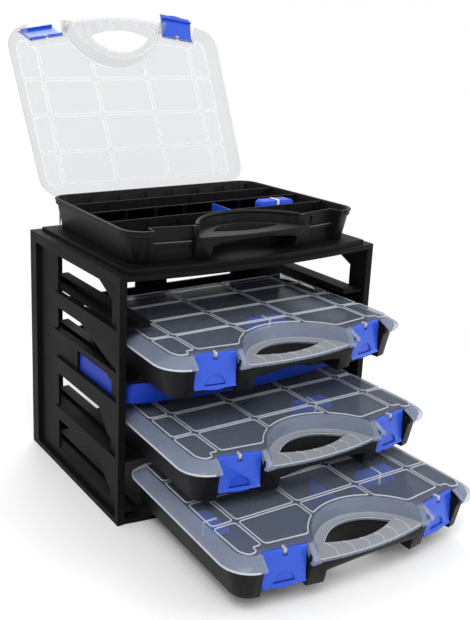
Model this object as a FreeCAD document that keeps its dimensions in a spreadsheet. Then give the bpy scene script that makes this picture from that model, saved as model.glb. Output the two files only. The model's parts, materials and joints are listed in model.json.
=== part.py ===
"""Rack with four compartment cases: three drawn out of their slots, the fourth open on top.

Millimetres, +Z up.  The origin is the centre of the rack's footprint, on the surface that it stands on;
the rack's front looks towards -Y.  Each case is drawn in a frame of its own: Y = 0 at the line of its
latches, +Y to its hinges, Z = 0 under its base.  The case is then placed as a whole.
"""
import FreeCAD, Part
import math
import os

import Sketcher
from FreeCAD import Placement, Rotation, Vector

os.makedirs("parts", exist_ok=True)
doc = FreeCAD.newDocument("CompartmentCaseRack")

DIMENSIONS = {
    # rack
    "rack_width": 400.0, "rack_depth": 278.0, "rack_height": 330.0, "deck_thick": 6.0,
    "deck_bow_radius": 1150.0, "platform_height": 6.0, "platform_inset": 13.0,
    "side_depth": 10.0, "side_wall": 3.5, "side_border": 8.0, "side_rear_border": 20.0,
    "slot_pitch": 71.0, "lowest_floor": 22.0, "mid_gap": 34.0,
    "platform_round": 1.5, "relief_half": 150.0, "relief_front": 24.0, "relief_rear": 40.0,
    "relief_deep": 2.0,
    "rail_inner": 155.0, "rail_wide": 16.0, "ledge_thick": 8.0, "ledge_plate": 3.0,
    "ledge_front": 4.0, "ledge_rear": 247.0,
    "window_front": 33.0, "window_rear": 196.0, "mid_window_rear": 133.0, "slat_rear": 204.0,
    "slat_rise": 4.5, "brace_drop": 37.0, "brace_run": 45.0, "brace_wide": 5.0,
    "brace_start": 41.0, "brace_head": 7.0, "brace_reach": 17.0, "brace_thin": 1.2,
    "rear_thick": 5.0, "rear_post": 28.0, "rear_window": 124.0, "rear_rail_low": 205.0,
    "rear_rail_high": 222.0, "rear_sill": 30.0, "rear_head": 18.0,
    "shelf_low": 162.0, "shelf_high": 189.0, "shelf_wall": 2.5, "shelf_bow_radius": 700.0,
    "shelf_corner": 26.0, "shelf_depth": 236.0, "shelf_front": 17.0,
    # case
    "rim_half_width": 180.0, "rim_front": -22.0, "rim_bow_radius": 880.0, "rim_rear": 246.0,
    "side_taper": 9.0, "front_corner": 30.0, "rear_corner": 24.0, "base_height": 43.0,
    "base_draft": 8.5, "base_wall": 2.4, "base_floor": 2.5, "band_height": 8.0, "band_out": 0.8,
    "row_pitch": 58.0, "first_row": 66.0, "row_wall": 1.8, "row_top": 41.5,
    "groove_count": 8.0, "groove_pitch": 46.0, "groove_gap": 2.4, "groove_rib": 1.2, "groove_top": 40.0,
    "lid_height": 53.0, "lid_wall": 1.8, "lid_out": 7.0, "lid_in": 9.0, "lid_lip": 3.0, "lid_gap": 0.4,
    "panel_rise": 0.7, "panel_joint": 4.5, "panel_edge": 167.0,
    "panel_split": 134.0, "panel_rear": 3.0,
    # carrying handle
    "arch_centre": -39.0, "arch_radius": 87.0, "arch_foot": 81.0, "arch_crown": 86.0, "deck_top": 34.0,
    "deck_plate": 3.2,
    "grip_low": 17.0, "grip_arch": 7.0, "grip_front": -26.0, "grip_bow": 8.0, "grip_half": 66.0,
    "grip_wall": 2.4, "opening_half": 52.0, "opening_side": 6.0, "opening_front": -6.5,
    "opening_rear": 32.0, "opening_step": 0.6, "under_rear": 14.0,
    "bar_half": 88.0, "bar_rear": -2.0, "bar_draft": 7.0,
    "cell_count": 6.0, "cell_pitch": 20.0, "cell_wide": 17.0, "cell_high": 0.8,
    "shoulder_inner": 77.0, "shoulder_outer": 89.5, "shoulder_rear": -4.0, "shoulder_front": -20.0,
    # latches
    "latch_centre": 117.0, "latch_set": -4.5, "latch_turn": 9.6, "latch_wide": 54.0, "latch_thick": 2.2,
    "latch_low": 9.0, "pocket_wide": 57.0, "pocket_back": 8.0, "lid_pocket_back": 6.2,
    "rod_radius": 1.7, "rod_height": 49.5, "rod_out": 2.8, "lug_wide": 6.0, "lug_gap": 0.5,
    "lug_half_high": 3.4, "eye_gap": 0.3, "latch_bulge": 1.0, "latch_foot": 1.6, "latch_flare": 3.6,
    "flare_high": 3.0, "dish_half": 13.5, "dish_high": 13.5, "dish_deep": 1.6,
    "lip_half": 16.0, "lip_drop": 2.2, "lip_out": 1.6,
    "catch_high": 24.0, "catch_low": 19.5, "catch_out": 3.6, "hook_top": 18.9, "hook_low": 16.0,
    "hook_reach": 4.0,
    # hinges
    "hinge_back": 256.5, "hinge_height": 36.0, "hinge_pin": 2.0, "hinge_bore": 2.3, "hinge_place": 120.0,
    "knuckle_half": 13.0, "knuckle_radius": 3.4, "lug_half": 4.0, "lug_radius": 4.2, "lug_root": 242.0,
    "lug_drop": 12.0, "hinge_gap": 0.5,
    # loose inserts
    "divider_thick": 1.4, "divider_high": 36.0, "divider_length": 55.6, "divider_place": 23.0,
    "stack_count": 9.0, "stack_pitch": 2.1, "band_wide": 4.0, "band_thick": 0.8,
    "insert_gap": 0.3,
    # poses
    "upper_pull": 80.0, "middle_pull": 138.0, "lower_pull": 229.0, "top_setback": 22.0,
    "lid_open": 117.0, "latch_open_left": 132.0, "latch_open_right": 90.0, "slide_gap": 0.4,
}

sheet = doc.addObject("Spreadsheet::Sheet", "Sizes")
for row, (alias, value) in enumerate(DIMENSIONS.items(), start=1):
    sheet.set(f"A{row}", alias)
    sheet.set(f"B{row}", str(value))
    sheet.setAlias(f"B{row}", alias)
doc.recompute()


def size(alias):
    """The value of one cell, for geometry that is worked out in this file."""
    return float(sheet.get(alias))


def new_body(label):
    """An empty body whose label names its file."""
    body = doc.addObject("PartDesign::Body", label)
    body.Label = label
    return body


def plane_of(body, role):
    """One of the body's own origin planes."""
    return next(item for item in body.Origin.OriginFeatures if item.Role == role)


def new_sketch(body, name, role="XY_Plane", level=0.0):
    """A sketch on an origin plane of its body, moved along the plane's normal by level."""
    sketch = body.newObject("Sketcher::SketchObject", f"{body.Name}_{name}")
    sketch.AttachmentSupport = (plane_of(body, role), "")
    sketch.MapMode = "FlatFace"
    sketch.AttachmentOffset = Placement(Vector(0, 0, level), Rotation())
    return sketch


def add_polygons(sketch, outlines):
    """Closed polygons, the corners of each held together."""
    lines, joins = [], []
    first = sketch.GeometryCount
    for points in outlines:
        start = first + len(lines)
        count = len(points)
        corners = [Vector(x, y, 0) for x, y in points]
        for index in range(count):
            after = (index + 1) % count
            lines.append(Part.LineSegment(corners[index], corners[after]))
            joins.append(Sketcher.Constraint("Coincident", start + index, 2, start + after, 1))
    sketch.addGeometry(lines, False)
    sketch.addConstraint(joins)


def box_points(x_low, x_high, y_low, y_high):
    """The corners of an upright rectangle."""
    return [(x_low, y_low), (x_high, y_low), (x_high, y_high), (x_low, y_high)]


def add_box(sketch, x_low, x_high, y_low, y_high):
    """An upright rectangle."""
    add_polygons(sketch, [box_points(x_low, x_high, y_low, y_high)])


def add_path(sketch, pieces):
    """A closed chain of straight and round pieces: (start, end) or (start, middle, end) points."""
    curves = []
    for piece in pieces:
        ends = [Vector(x, y, 0) for x, y in piece]
        curves.append(Part.LineSegment(*ends) if len(ends) == 2 else Part.Arc(*ends))
    sketch.addGeometry(curves, False)


def add_circle(sketch, x, y, radius):
    """A full circle."""
    sketch.addGeometry(Part.Circle(Vector(x, y, 0), Vector(0, 0, 1), radius), False)


def pad(body, sketch, name, length, reverse=False, both=False):
    """Material along the sketch's normal; length is an expression or a number."""
    feature = body.newObject("PartDesign::Pad", f"{body.Name}_{name}")
    feature.Profile = sketch
    feature.Refine = False
    feature.Reversed = reverse
    if both:
        feature.Midplane = True
    if isinstance(length, str):
        feature.setExpression("Length", length)
    else:
        feature.Length = length
    doc.recompute()
    return feature


def cut(body, sketch, name, length, upward=True, both=False):
    """A pocket that must take material away."""
    before = body.Shape.Volume
    feature = body.newObject("PartDesign::Pocket", f"{body.Name}_{name}")
    feature.Profile = sketch
    feature.Refine = False
    feature.Reversed = upward
    if both:
        feature.Midplane = True
    if isinstance(length, str):
        feature.setExpression("Length", length)
    else:
        feature.Length = length
    doc.recompute()
    if not body.Shape.Volume < before - 1.0:
        raise RuntimeError(f"{feature.Name} removed nothing")
    return feature


def loft(body, sketches, name, subtract=False):
    """A loft through sketches that have the same pieces in the same order."""
    before = body.Shape.Volume if body.Shape and not body.Shape.isNull() else 0.0
    kind = "PartDesign::SubtractiveLoft" if subtract else "PartDesign::AdditiveLoft"
    feature = body.newObject(kind, f"{body.Name}_{name}")
    feature.Profile = sketches[0]
    feature.Refine = False
    feature.Sections = sketches[1:]
    feature.Ruled = True
    doc.recompute()
    if subtract and not body.Shape.Volume < before - 1.0:
        raise RuntimeError(f"{feature.Name} removed nothing")
    return feature


def fillet(body, name, edges, radius):
    """Round the named edges of the body's present shape."""
    before = body.Tip
    feature = body.newObject("PartDesign::Fillet", f"{body.Name}_{name}")
    feature.Base = (before, edges)
    feature.Radius = radius
    doc.recompute()
    return feature


def finished(body):
    """The body with the seams between its features taken out."""
    body.Tip.Refine = True
    doc.recompute()
    return body


def copy_of(master, label):
    """A body with the same shape as another one."""
    body = new_body(label)
    body.BaseFeature = master
    doc.recompute()
    return body


def edges_where(shape, test):
    """Names of the edges that a test picks out."""
    return [f"Edge{number}" for number, edge in enumerate(shape.Edges, start=1) if test(edge)]


# How far pieces of one body reach into each other.
JOIN = 0.5

# Steps of a search by halving.
HALVINGS = 60


# Rack

HALF_WIDTH = size("rack_width") / 2
FRONT = -size("rack_depth") / 2
REAR = size("rack_depth") / 2
UNDER_DECK = size("rack_height") - size("deck_thick")
WALL_OUT = HALF_WIDTH - size("side_depth") + size("side_wall")
WALL_IN = HALF_WIDTH - size("side_depth")

FLOORS = {
    "lower": size("lowest_floor"),
    "middle": size("lowest_floor") + size("slot_pitch"),
    "upper": size("lowest_floor") + 2 * size("slot_pitch") + size("mid_gap"),
    "empty": size("lowest_floor") + 3 * size("slot_pitch") + size("mid_gap"),
}


def bowed_plan(half_width, front_corner, rear, radius):
    """A rectangle whose front side is an arc bowed towards -Y."""
    bow = radius - math.sqrt(radius * radius - half_width * half_width)
    left_front, right_front = (-half_width, front_corner), (half_width, front_corner)
    return [
        (left_front, (0.0, front_corner - bow), right_front),
        (right_front, (half_width, rear)),
        ((half_width, rear), (-half_width, rear)),
        ((-half_width, rear), left_front),
    ]


def make_top_deck():
    """The cover of the rack, with the raised platform that carries a case."""
    body = new_body("rack_top_deck")
    plate = new_sketch(body, "plate", level=UNDER_DECK)
    add_path(plate, bowed_plan(HALF_WIDTH, FRONT, REAR, size("deck_bow_radius")))
    pad(body, plate, "cover", "Sizes.deck_thick")
    inset = size("platform_inset")
    raised = new_sketch(body, "raised", level=size("rack_height"))
    add_path(raised, bowed_plan(HALF_WIDTH - inset, FRONT + inset / 2, REAR - inset, size("deck_bow_radius")))
    pad(body, raised, "platform", "Sizes.platform_height")
    top = size("rack_height") + size("platform_height")
    rims = edges_where(body.Shape, lambda edge: abs(edge.BoundBox.ZMin - top) < 0.01)
    fillet(body, "platform_rim", rims, size("platform_round"))
    return body


def make_bottom_deck():
    """The floor of the rack, between its side panels."""
    body = new_body("rack_bottom_deck")
    plate = new_sketch(body, "plate")
    add_path(plate, bowed_plan(WALL_IN, FRONT, REAR - size("rear_thick"), size("deck_bow_radius")))
    pad(body, plate, "floor", "Sizes.deck_thick")
    half, deep = size("relief_half"), size("relief_deep")
    relief = new_sketch(body, "relief", level=size("deck_thick") - deep)
    add_box(relief, -half, half, FRONT + size("relief_front"), REAR - size("relief_rear"))
    cut(body, relief, "shallow_recess", "Sizes.relief_deep")
    return body


def make_rear_frame():
    """The back lattice: two side posts, a middle post and a rail."""
    body = new_body("rack_rear_frame")
    depth = size("rear_thick")
    plate = new_sketch(body, "plate", "XZ_Plane", -(REAR - depth))
    add_box(plate, -WALL_IN, WALL_IN, 0.0, UNDER_DECK)
    pad(body, plate, "lattice", "Sizes.rear_thick", reverse=True)
    openings = new_sketch(body, "openings", "XZ_Plane", -(REAR - depth))
    post, window = size("rear_post"), size("rear_window")
    for side in (-1, 1):
        x_low, x_high = sorted((side * post, side * (post + window)))
        add_box(openings, x_low, x_high, size("rear_sill"), size("rear_rail_low"))
        add_box(openings, x_low, x_high, size("rear_rail_high"), UNDER_DECK - size("rear_head"))
    cut(body, openings, "windows", "Sizes.rear_thick", upward=False)
    return body


# Windows of a side panel: lowest and highest Z, rear end, and the run and drop of the cut front corner.
SIDE_WINDOWS = (
    (22.0, 72.0, "window_rear", 26.0, 28.0),
    (90.0, 142.0, "window_rear", 26.0, 28.0),
    (165.0, 197.0, "mid_window_rear", 6.0, 4.0),
    (205.0, 239.0, "window_rear", 82.0, 25.0),
    (260.0, 310.0, "window_rear", 36.0, 17.0),
)


def slat_points(upper, lower):
    """The raised slat between two side windows: it starts at the front border and follows both windows."""
    start, end = FRONT + size("side_border") - 2 * JOIN, FRONT + size("slat_rear")
    front = FRONT + size("window_front")
    top, bottom, run, drop = upper[0], lower[1], lower[3], lower[4]
    turn = (top - bottom) / 3
    return [(start, bottom - drop - 6.0), (front, bottom - drop), (front + run, bottom),
            (end - turn, bottom), (end, bottom + turn), (end, top - turn), (end - turn, top), (start, top)]


def window_points(low, high, rear_name, cut_run, cut_drop):
    """A side window in the Y-Z plane, with its upper front corner cut off."""
    front, rear = FRONT + size("window_front"), FRONT + size(rear_name)
    return [(front, low), (rear, low), (rear, high), (front + cut_run, high), (front, high - cut_drop)]


def make_side_panel(label, side):
    """One side of the rack: a bordered wall with windows, and the four ledges that carry the cases."""
    body = new_body(label)
    outer = new_sketch(body, "wall", "YZ_Plane", side * WALL_IN)
    add_box(outer, FRONT, REAR, 0.0, UNDER_DECK)
    pad(body, outer, "panel", "Sizes.side_depth", reverse=side < 0)
    border = size("side_border")
    recess = new_sketch(body, "recess", "YZ_Plane", side * WALL_OUT)
    add_box(recess, FRONT + border, REAR - size("side_rear_border"), border, UNDER_DECK - border)
    cut(body, recess, "outer_recess", "Sizes.side_depth - Sizes.side_wall", upward=side > 0)
    windows = new_sketch(body, "windows", "YZ_Plane", side * WALL_IN)
    add_polygons(windows, [window_points(*row) for row in SIDE_WINDOWS])
    cut(body, windows, "window_openings", "Sizes.side_depth", upward=side > 0)
    slats = new_sketch(body, "slats", "YZ_Plane", side * WALL_OUT)
    add_polygons(slats, [slat_points(upper, lower) for lower, upper in zip(SIDE_WINDOWS, SIDE_WINDOWS[1:])])
    pad(body, slats, "raised_slats", "Sizes.slat_rise", reverse=side < 0)
    ledges = new_sketch(body, "ledges", "XZ_Plane", -(FRONT + size("ledge_front")))
    inner, wide = size("rail_inner"), size("rail_wide")
    sections = []
    for floor in FLOORS.values():
        low = floor - size("ledge_thick")
        step = low + size("ledge_plate")
        section = [(inner, low), (WALL_IN, low), (WALL_IN, step), (inner + wide, step),
                   (inner + wide, floor), (inner, floor)]
        sections.append([(side * x, z) for x, z in section])
    add_polygons(ledges, sections)
    pad(body, ledges, "case_ledges", "Sizes.ledge_rear - Sizes.ledge_front", reverse=True)
    head, drop = size("brace_head"), size("brace_drop")
    start, wide = FRONT + size("brace_start"), size("brace_wide")
    heads, legs = [], []
    for name in ("middle", "empty"):
        top = FLOORS[name] - size("ledge_thick")
        neck = start + size("brace_run") * head / drop
        foot = start + size("brace_run")
        heads.append([(start, top), (start + wide, top), (neck + wide, top - head), (neck, top - head)])
        legs.append([(start, top), (start + wide, top), (foot + wide, top - drop), (foot, top - drop)])
    for name, outlines, reach in (("heads", heads, "Sizes.brace_reach"), ("legs", legs, "Sizes.brace_thin")):
        braces = new_sketch(body, f"brace_{name}", "YZ_Plane", side * WALL_IN)
        add_polygons(braces, outlines)
        pad(body, braces, f"brace_{name}", reach, reverse=side > 0)
    return body


def make_mid_shelf():
    """The cross shelf that ties the sides together between the second and third slots."""
    body = new_body("rack_mid_shelf")
    half = WALL_IN
    bow, corner = size("shelf_bow_radius"), size("shelf_corner")
    front = FRONT - size("shelf_front")
    rear = FRONT + size("shelf_depth")

    def plan(inset):
        """The shelf's outline drawn in by inset: bowed front, round front corners, square rear."""
        width, radius, turn = half - inset, bow - inset, corner - inset
        centre_y = front + bow
        turn_x = width - turn
        turn_y = centre_y - math.sqrt((radius - turn) ** 2 - turn_x ** 2)
        along = math.atan2(turn_y - centre_y, turn_x)
        touch = (turn_x + turn * math.cos(along), turn_y + turn * math.sin(along))
        half_way = along / 2
        middle = (turn_x + turn * math.cos(half_way), turn_y + turn * math.sin(half_way))
        back = rear - inset
        return [
            ((-touch[0], touch[1]), (0.0, centre_y - radius), touch),
            (touch, middle, (width, turn_y)),
            ((width, turn_y), (width, back)),
            ((width, back), (-width, back)),
            ((-width, back), (-width, turn_y)),
            ((-width, turn_y), (-middle[0], middle[1]), (-touch[0], touch[1])),
        ]

    low = size("shelf_low")
    outer = new_sketch(body, "outer", level=low)
    add_path(outer, plan(0.0))
    pad(body, outer, "tray", "Sizes.shelf_high - Sizes.shelf_low")
    inner = new_sketch(body, "inner", level=low + size("shelf_wall"))
    add_path(inner, plan(size("shelf_wall")))
    cut(body, inner, "hollow", "Sizes.shelf_high - Sizes.shelf_low")
    return body


# Case outlines

RIM_HALF = size("rim_half_width")
TAPER_RUN = size("rim_rear") - size("rim_front")
TAPER_TURN = math.atan2(size("side_taper"), TAPER_RUN)


def outline(inset):
    """The case's plan drawn in by inset, as corner data: all its sides stay parallel to the rim's."""
    radius = size("rim_bow_radius") - inset
    front = size("rim_front") + inset
    rear = size("rim_rear") - inset
    turn_front = max(size("front_corner") - inset, 4.0)
    turn_rear = max(size("rear_corner") - inset, 4.0)
    centre_y = front + radius
    slope = math.tan(TAPER_TURN)
    away = 1.0 / math.cos(TAPER_TURN)

    def side_x(y, extra=0.0):
        """Half width at y, drawn in by extra beside the inset."""
        return RIM_HALF - slope * (y - size("rim_front")) - (inset + extra) * away

    low, high = front, front + 80.0
    for _ in range(HALVINGS):
        middle = (low + high) / 2
        reach = math.hypot(side_x(middle, turn_front), centre_y - middle)
        low, high = (middle, high) if reach > radius - turn_front else (low, middle)
    turn_y = (low + high) / 2
    turn_x = side_x(turn_y, turn_front)
    normal = (math.cos(TAPER_TURN), math.sin(TAPER_TURN))
    scale = radius / (radius - turn_front)
    rear_y = rear - turn_rear
    rear_x = side_x(rear_y, turn_rear)
    return {
        "radius": radius, "front": front, "rear": rear, "centre_y": centre_y,
        "corner": (turn_x, turn_y, turn_front), "back": (rear_x, rear_y, turn_rear),
        "front_touch": (turn_x * scale, centre_y + (turn_y - centre_y) * scale),
        "side_front": (turn_x + turn_front * normal[0], turn_y + turn_front * normal[1]),
        "side_rear": (rear_x + turn_rear * normal[0], rear_y + turn_rear * normal[1]),
        "rear_touch": (rear_x, rear),
    }


def arc_middle(centre, start, end):
    """The point half way along the short arc from start to end."""
    radius = math.hypot(start[0] - centre[0], start[1] - centre[1])
    x = (start[0] + end[0]) / 2 - centre[0]
    y = (start[1] + end[1]) / 2 - centre[1]
    length = math.hypot(x, y)
    return (centre[0] + x * radius / length, centre[1] + y * radius / length)


def flip(point):
    """The point's mirror image across the case's middle."""
    return (-point[0], point[1])


def case_plan(inset):
    """The full outline as pieces, counter-clockwise from the front."""
    data = outline(inset)
    corner, back = data["corner"][:2], data["back"][:2]
    touch, side_front = data["front_touch"], data["side_front"]
    side_rear, rear_touch = data["side_rear"], data["rear_touch"]
    front_mid = arc_middle(corner, touch, side_front)
    rear_mid = arc_middle(back, side_rear, rear_touch)
    return [
        (flip(touch), (0.0, data["front"]), touch),
        (touch, front_mid, side_front),
        (side_front, side_rear),
        (side_rear, rear_mid, rear_touch),
        (rear_touch, flip(rear_touch)),
        (flip(rear_touch), flip(rear_mid), flip(side_rear)),
        (flip(side_rear), flip(side_front)),
        (flip(side_front), flip(front_mid), flip(touch)),
    ]


BEYOND_FRONT = size("rim_front") - 40.0
GRIP_END = size("grip_front") + size("grip_bow") + size("grip_wall") / 2
POCKET_X = size("latch_centre")
LATCH_TURN = math.radians(size("latch_turn"))


def latch_point(side, along, back):
    """Plan point at a latch: along its width towards the case's side, and back from its outer face."""
    x = POCKET_X + along * math.cos(LATCH_TURN) - back * math.sin(LATCH_TURN)
    y = size("latch_set") + along * math.sin(LATCH_TURN) + back * math.cos(LATCH_TURN)
    return (side * x, y)


def tray_plan(inset, wall):
    """The tray's hollow: the outline drawn in, but clear of the latch pockets and the handle's arch."""
    data = outline(inset)
    half = size("pocket_wide") / 2 + wall
    back = size("pocket_back") + wall
    arch = size("arch_radius") + wall
    centre = size("arch_centre")
    outer_back = latch_point(1, half, back)
    slope = math.tan(LATCH_TURN)
    outer_x = outer_back[0] + slope * 10.0
    front_y = data["centre_y"] - math.sqrt(data["radius"] ** 2 - outer_x ** 2)
    corner_in = (outer_x, front_y)
    low, high = 40.0, outer_back[0]
    for _ in range(HALVINGS):
        middle = (low + high) / 2
        y = outer_back[1] + (middle - outer_back[0]) * slope
        low, high = (middle, high) if math.hypot(middle, y - centre) < arch else (low, middle)
    meet = (middle, outer_back[1] + (middle - outer_back[0]) * slope)
    corner, touch = data["corner"][:2], data["front_touch"]
    back_corner = data["back"][:2]
    front_mid = arc_middle(corner, touch, data["side_front"])
    rear_mid = arc_middle(back_corner, data["side_rear"], data["rear_touch"])
    edge_mid = arc_middle((0.0, data["centre_y"]), corner_in, touch)
    right = [
        (meet, outer_back),
        (outer_back, corner_in),
        (corner_in, edge_mid, touch),
        (touch, front_mid, data["side_front"]),
        (data["side_front"], data["side_rear"]),
        (data["side_rear"], rear_mid, data["rear_touch"]),
    ]
    left = [tuple(flip(point) for point in reversed(piece)) for piece in reversed(right)]
    top = [(data["rear_touch"], flip(data["rear_touch"]))]
    arch_piece = [(flip(meet), (0.0, centre + arch), meet)]
    return arch_piece + right + top + left


def arch_plan(radius, front):
    """The handle's zone: a round arch closed by a straight front, far enough out to cut all there is."""
    centre = size("arch_centre")
    return [
        ((radius, front), (radius, centre)),
        ((radius, centre), (0.0, centre + radius), (-radius, centre)),
        ((-radius, centre), (-radius, front)),
        ((-radius, front), (radius, front)),
    ]


def grip_plan(radius, forward=0.0):
    """The lid's part of the handle: a round arch closed by the grip's bowed front, moved out by forward."""
    centre, front = size("arch_centre"), size("grip_front") - forward
    end = front + size("grip_bow")
    half = math.sqrt(radius ** 2 - (end - centre) ** 2)
    return [
        ((half, end), (0.0, centre + radius), (-half, end)),
        ((-half, end), (0.0, front), (half, end)),
    ]


def bar_plan(inset):
    """The base's part of the grip, its bowed front drawn in by inset."""
    half, rear = size("bar_half"), size("bar_rear")
    end, middle = GRIP_END + inset, size("grip_front") + size("grip_wall") / 2 + inset
    return [
        ((-half, end), (0.0, middle), (half, end)),
        ((half, end), (half, rear)),
        ((half, rear), (-half, rear)),
        ((-half, rear), (-half, end)),
    ]


def opening_plan(shrink=0.0):
    """The finger opening: a lens with its points to the sides, bowed to the grip and more to the tray."""
    half, side = size("opening_half") - shrink, size("opening_side")
    low, high = size("opening_front") + shrink, size("opening_rear") - shrink
    return [((-half, side), (0.0, low), (half, side)), ((half, side), (0.0, high), (-half, side))]


def across_arc(x, half, edge, middle):
    """Y at x on the flat arc whose ends lie at half and edge, and whose middle lies at middle."""
    return middle + (edge - middle) * (x / half) ** 2


def pocket_corners(side, half, back):
    """The plan of a latch pocket, open to the front."""
    corners = [latch_point(side, -half, back), latch_point(side, half, back),
               latch_point(side, half, BEYOND_FRONT), latch_point(side, -half, BEYOND_FRONT)]
    return corners if side > 0 else corners[::-1]


HINGE_STEP = size("knuckle_half") + size("lug_half") + size("hinge_gap")


# Case pieces

def make_base(label):
    """The black tray with its rows, divider grooves, latch catches, handle half and hinge lugs."""
    body = new_body(label)
    high, draft = size("base_height"), size("base_draft")
    wall, floor = size("base_wall"), size("base_floor")
    bottom = new_sketch(body, "bottom")
    add_path(bottom, case_plan(draft))
    rim = new_sketch(body, "rim", level=high)
    add_path(rim, case_plan(0.0))
    loft(body, [bottom, rim], "shell")
    band = new_sketch(body, "band", level=high - size("band_height"))
    add_path(band, case_plan(-size("band_out")))
    pad(body, band, "rim_band", "Sizes.band_height")

    tray_floor = new_sketch(body, "tray_floor", level=floor)
    add_path(tray_floor, tray_plan(draft + wall, wall))
    tray_top = new_sketch(body, "tray_top", level=high + JOIN)
    add_path(tray_top, tray_plan(wall, wall))
    loft(body, [tray_floor, tray_top], "tray_hollow", subtract=True)

    pockets = new_sketch(body, "pockets")
    for side in (-1, 1):
        add_polygons(pockets, [pocket_corners(side, size("pocket_wide") / 2, size("pocket_back"))])
    cut(body, pockets, "latch_pockets", "Sizes.base_height")

    deck = size("deck_top") - size("deck_plate") - size("lid_gap")
    recess = new_sketch(body, "handle_recess", level=deck)
    add_path(recess, arch_plan(size("arch_radius"), BEYOND_FRONT))
    cut(body, recess, "handle_top", "Sizes.base_height")
    beside = new_sketch(body, "beside_grip", level=deck)
    for side in (-1, 1):
        x_low, x_high = sorted((side * size("shoulder_inner"), side * size("shoulder_outer")))
        add_box(beside, x_low, x_high, BEYOND_FRONT, size("shoulder_rear") - size("lid_wall"))
    cut(body, beside, "shoulder_room", "Sizes.base_height")
    bar_low = new_sketch(body, "bar_low")
    add_path(bar_low, bar_plan(size("bar_draft")))
    bar_high = new_sketch(body, "bar_high", level=deck)
    add_path(bar_high, bar_plan(0.0))
    loft(body, [bar_low, bar_high], "grip_bar")
    opening = new_sketch(body, "finger_opening")
    add_path(opening, opening_plan())
    cut(body, opening, "finger_hole", "Sizes.base_height")

    under = new_sketch(body, "under_grip", "XZ_Plane", -BEYOND_FRONT)
    low, arch, half = size("grip_low"), size("grip_arch"), size("grip_half")
    add_path(under, [
        ((-half, -1.0), (half, -1.0)),
        ((half, -1.0), (half, low)),
        ((half, low), (0.0, low + arch), (-half, low)),
        ((-half, low), (-half, -1.0)),
    ])
    cut(body, under, "arched_underside", size("under_rear") - BEYOND_FRONT, upward=False)

    rows = [size("first_row") + number * size("row_pitch") for number in range(3)]
    for number, y in enumerate(rows, start=1):
        low_half = outline(draft)["side_front"][0] - math.tan(TAPER_TURN) * y - wall + JOIN / 2
        high_half = low_half + draft * size("row_top") / high
        partition = new_sketch(body, f"row_{number}", "XZ_Plane", -y)
        add_polygons(partition, [[(-low_half, floor - JOIN), (low_half, floor - JOIN),
                                  (high_half, size("row_top")), (-high_half, size("row_top"))]])
        pad(body, partition, f"row_wall_{number}", "Sizes.row_wall", both=True)

    grooves = new_sketch(body, "grooves", level=floor - JOIN)
    reach = size("row_wall") / 2 + size("groove_rib")
    rear_inside = size("rim_rear") - draft - wall
    pitch, gap, rib = size("groove_pitch"), size("groove_gap"), size("groove_rib")
    ribs = []
    count = int(size("groove_count"))
    for place in range(count):
        for edge in (-1, 1):
            near = (place - (count - 1) / 2) * pitch + edge * gap / 2
            x_low, x_high = sorted((near, near + edge * rib))
            ribs += [box_points(x_low, x_high, y - reach, y + reach) for y in rows]
            ribs.append(box_points(x_low, x_high, rear_inside - rib, rear_inside + 2 * JOIN))
    add_polygons(grooves, ribs)
    pad(body, grooves, "groove_ribs", "Sizes.groove_top - Sizes.base_floor")

    catches = new_sketch(body, "catches", level=size("catch_low"))
    for side in (-1, 1):
        half = size("latch_wide") / 2
        back, out = size("pocket_back"), size("catch_out")
        corners = [latch_point(side, -half, back - out), latch_point(side, half, back - out),
                   latch_point(side, half, back + JOIN), latch_point(side, -half, back + JOIN)]
        add_polygons(catches, [corners])
    pad(body, catches, "catch_bars", "Sizes.catch_high - Sizes.catch_low")

    axis_y, axis_z = size("hinge_back"), size("hinge_height")
    around, root, drop = size("lug_radius"), size("lug_root"), size("lug_drop")
    for side in (-1, 1):
        for hand in (-1, 1):
            middle = side * size("hinge_place") + hand * HINGE_STEP
            name = f"{'left' if side < 0 else 'right'}_{'inner' if side * hand < 0 else 'outer'}"
            lug = new_sketch(body, f"lug_{name}", "YZ_Plane", middle)
            add_path(lug, [
                ((root, axis_z - drop), (axis_y + around, axis_z)),
                ((axis_y + around, axis_z), (axis_y, axis_z + around), (axis_y - around, axis_z)),
                ((axis_y - around, axis_z), (root, axis_z)),
                ((root, axis_z), (root, axis_z - drop)),
            ])
            pad(body, lug, f"hinge_lug_{name}", "2 * Sizes.lug_half", both=True)
    bores = new_sketch(body, "hinge_bores", "YZ_Plane")
    add_circle(bores, axis_y, axis_z, size("hinge_bore"))
    cut(body, bores, "hinge_bore", "2 * Sizes.rim_half_width", both=True)
    return body


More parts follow.
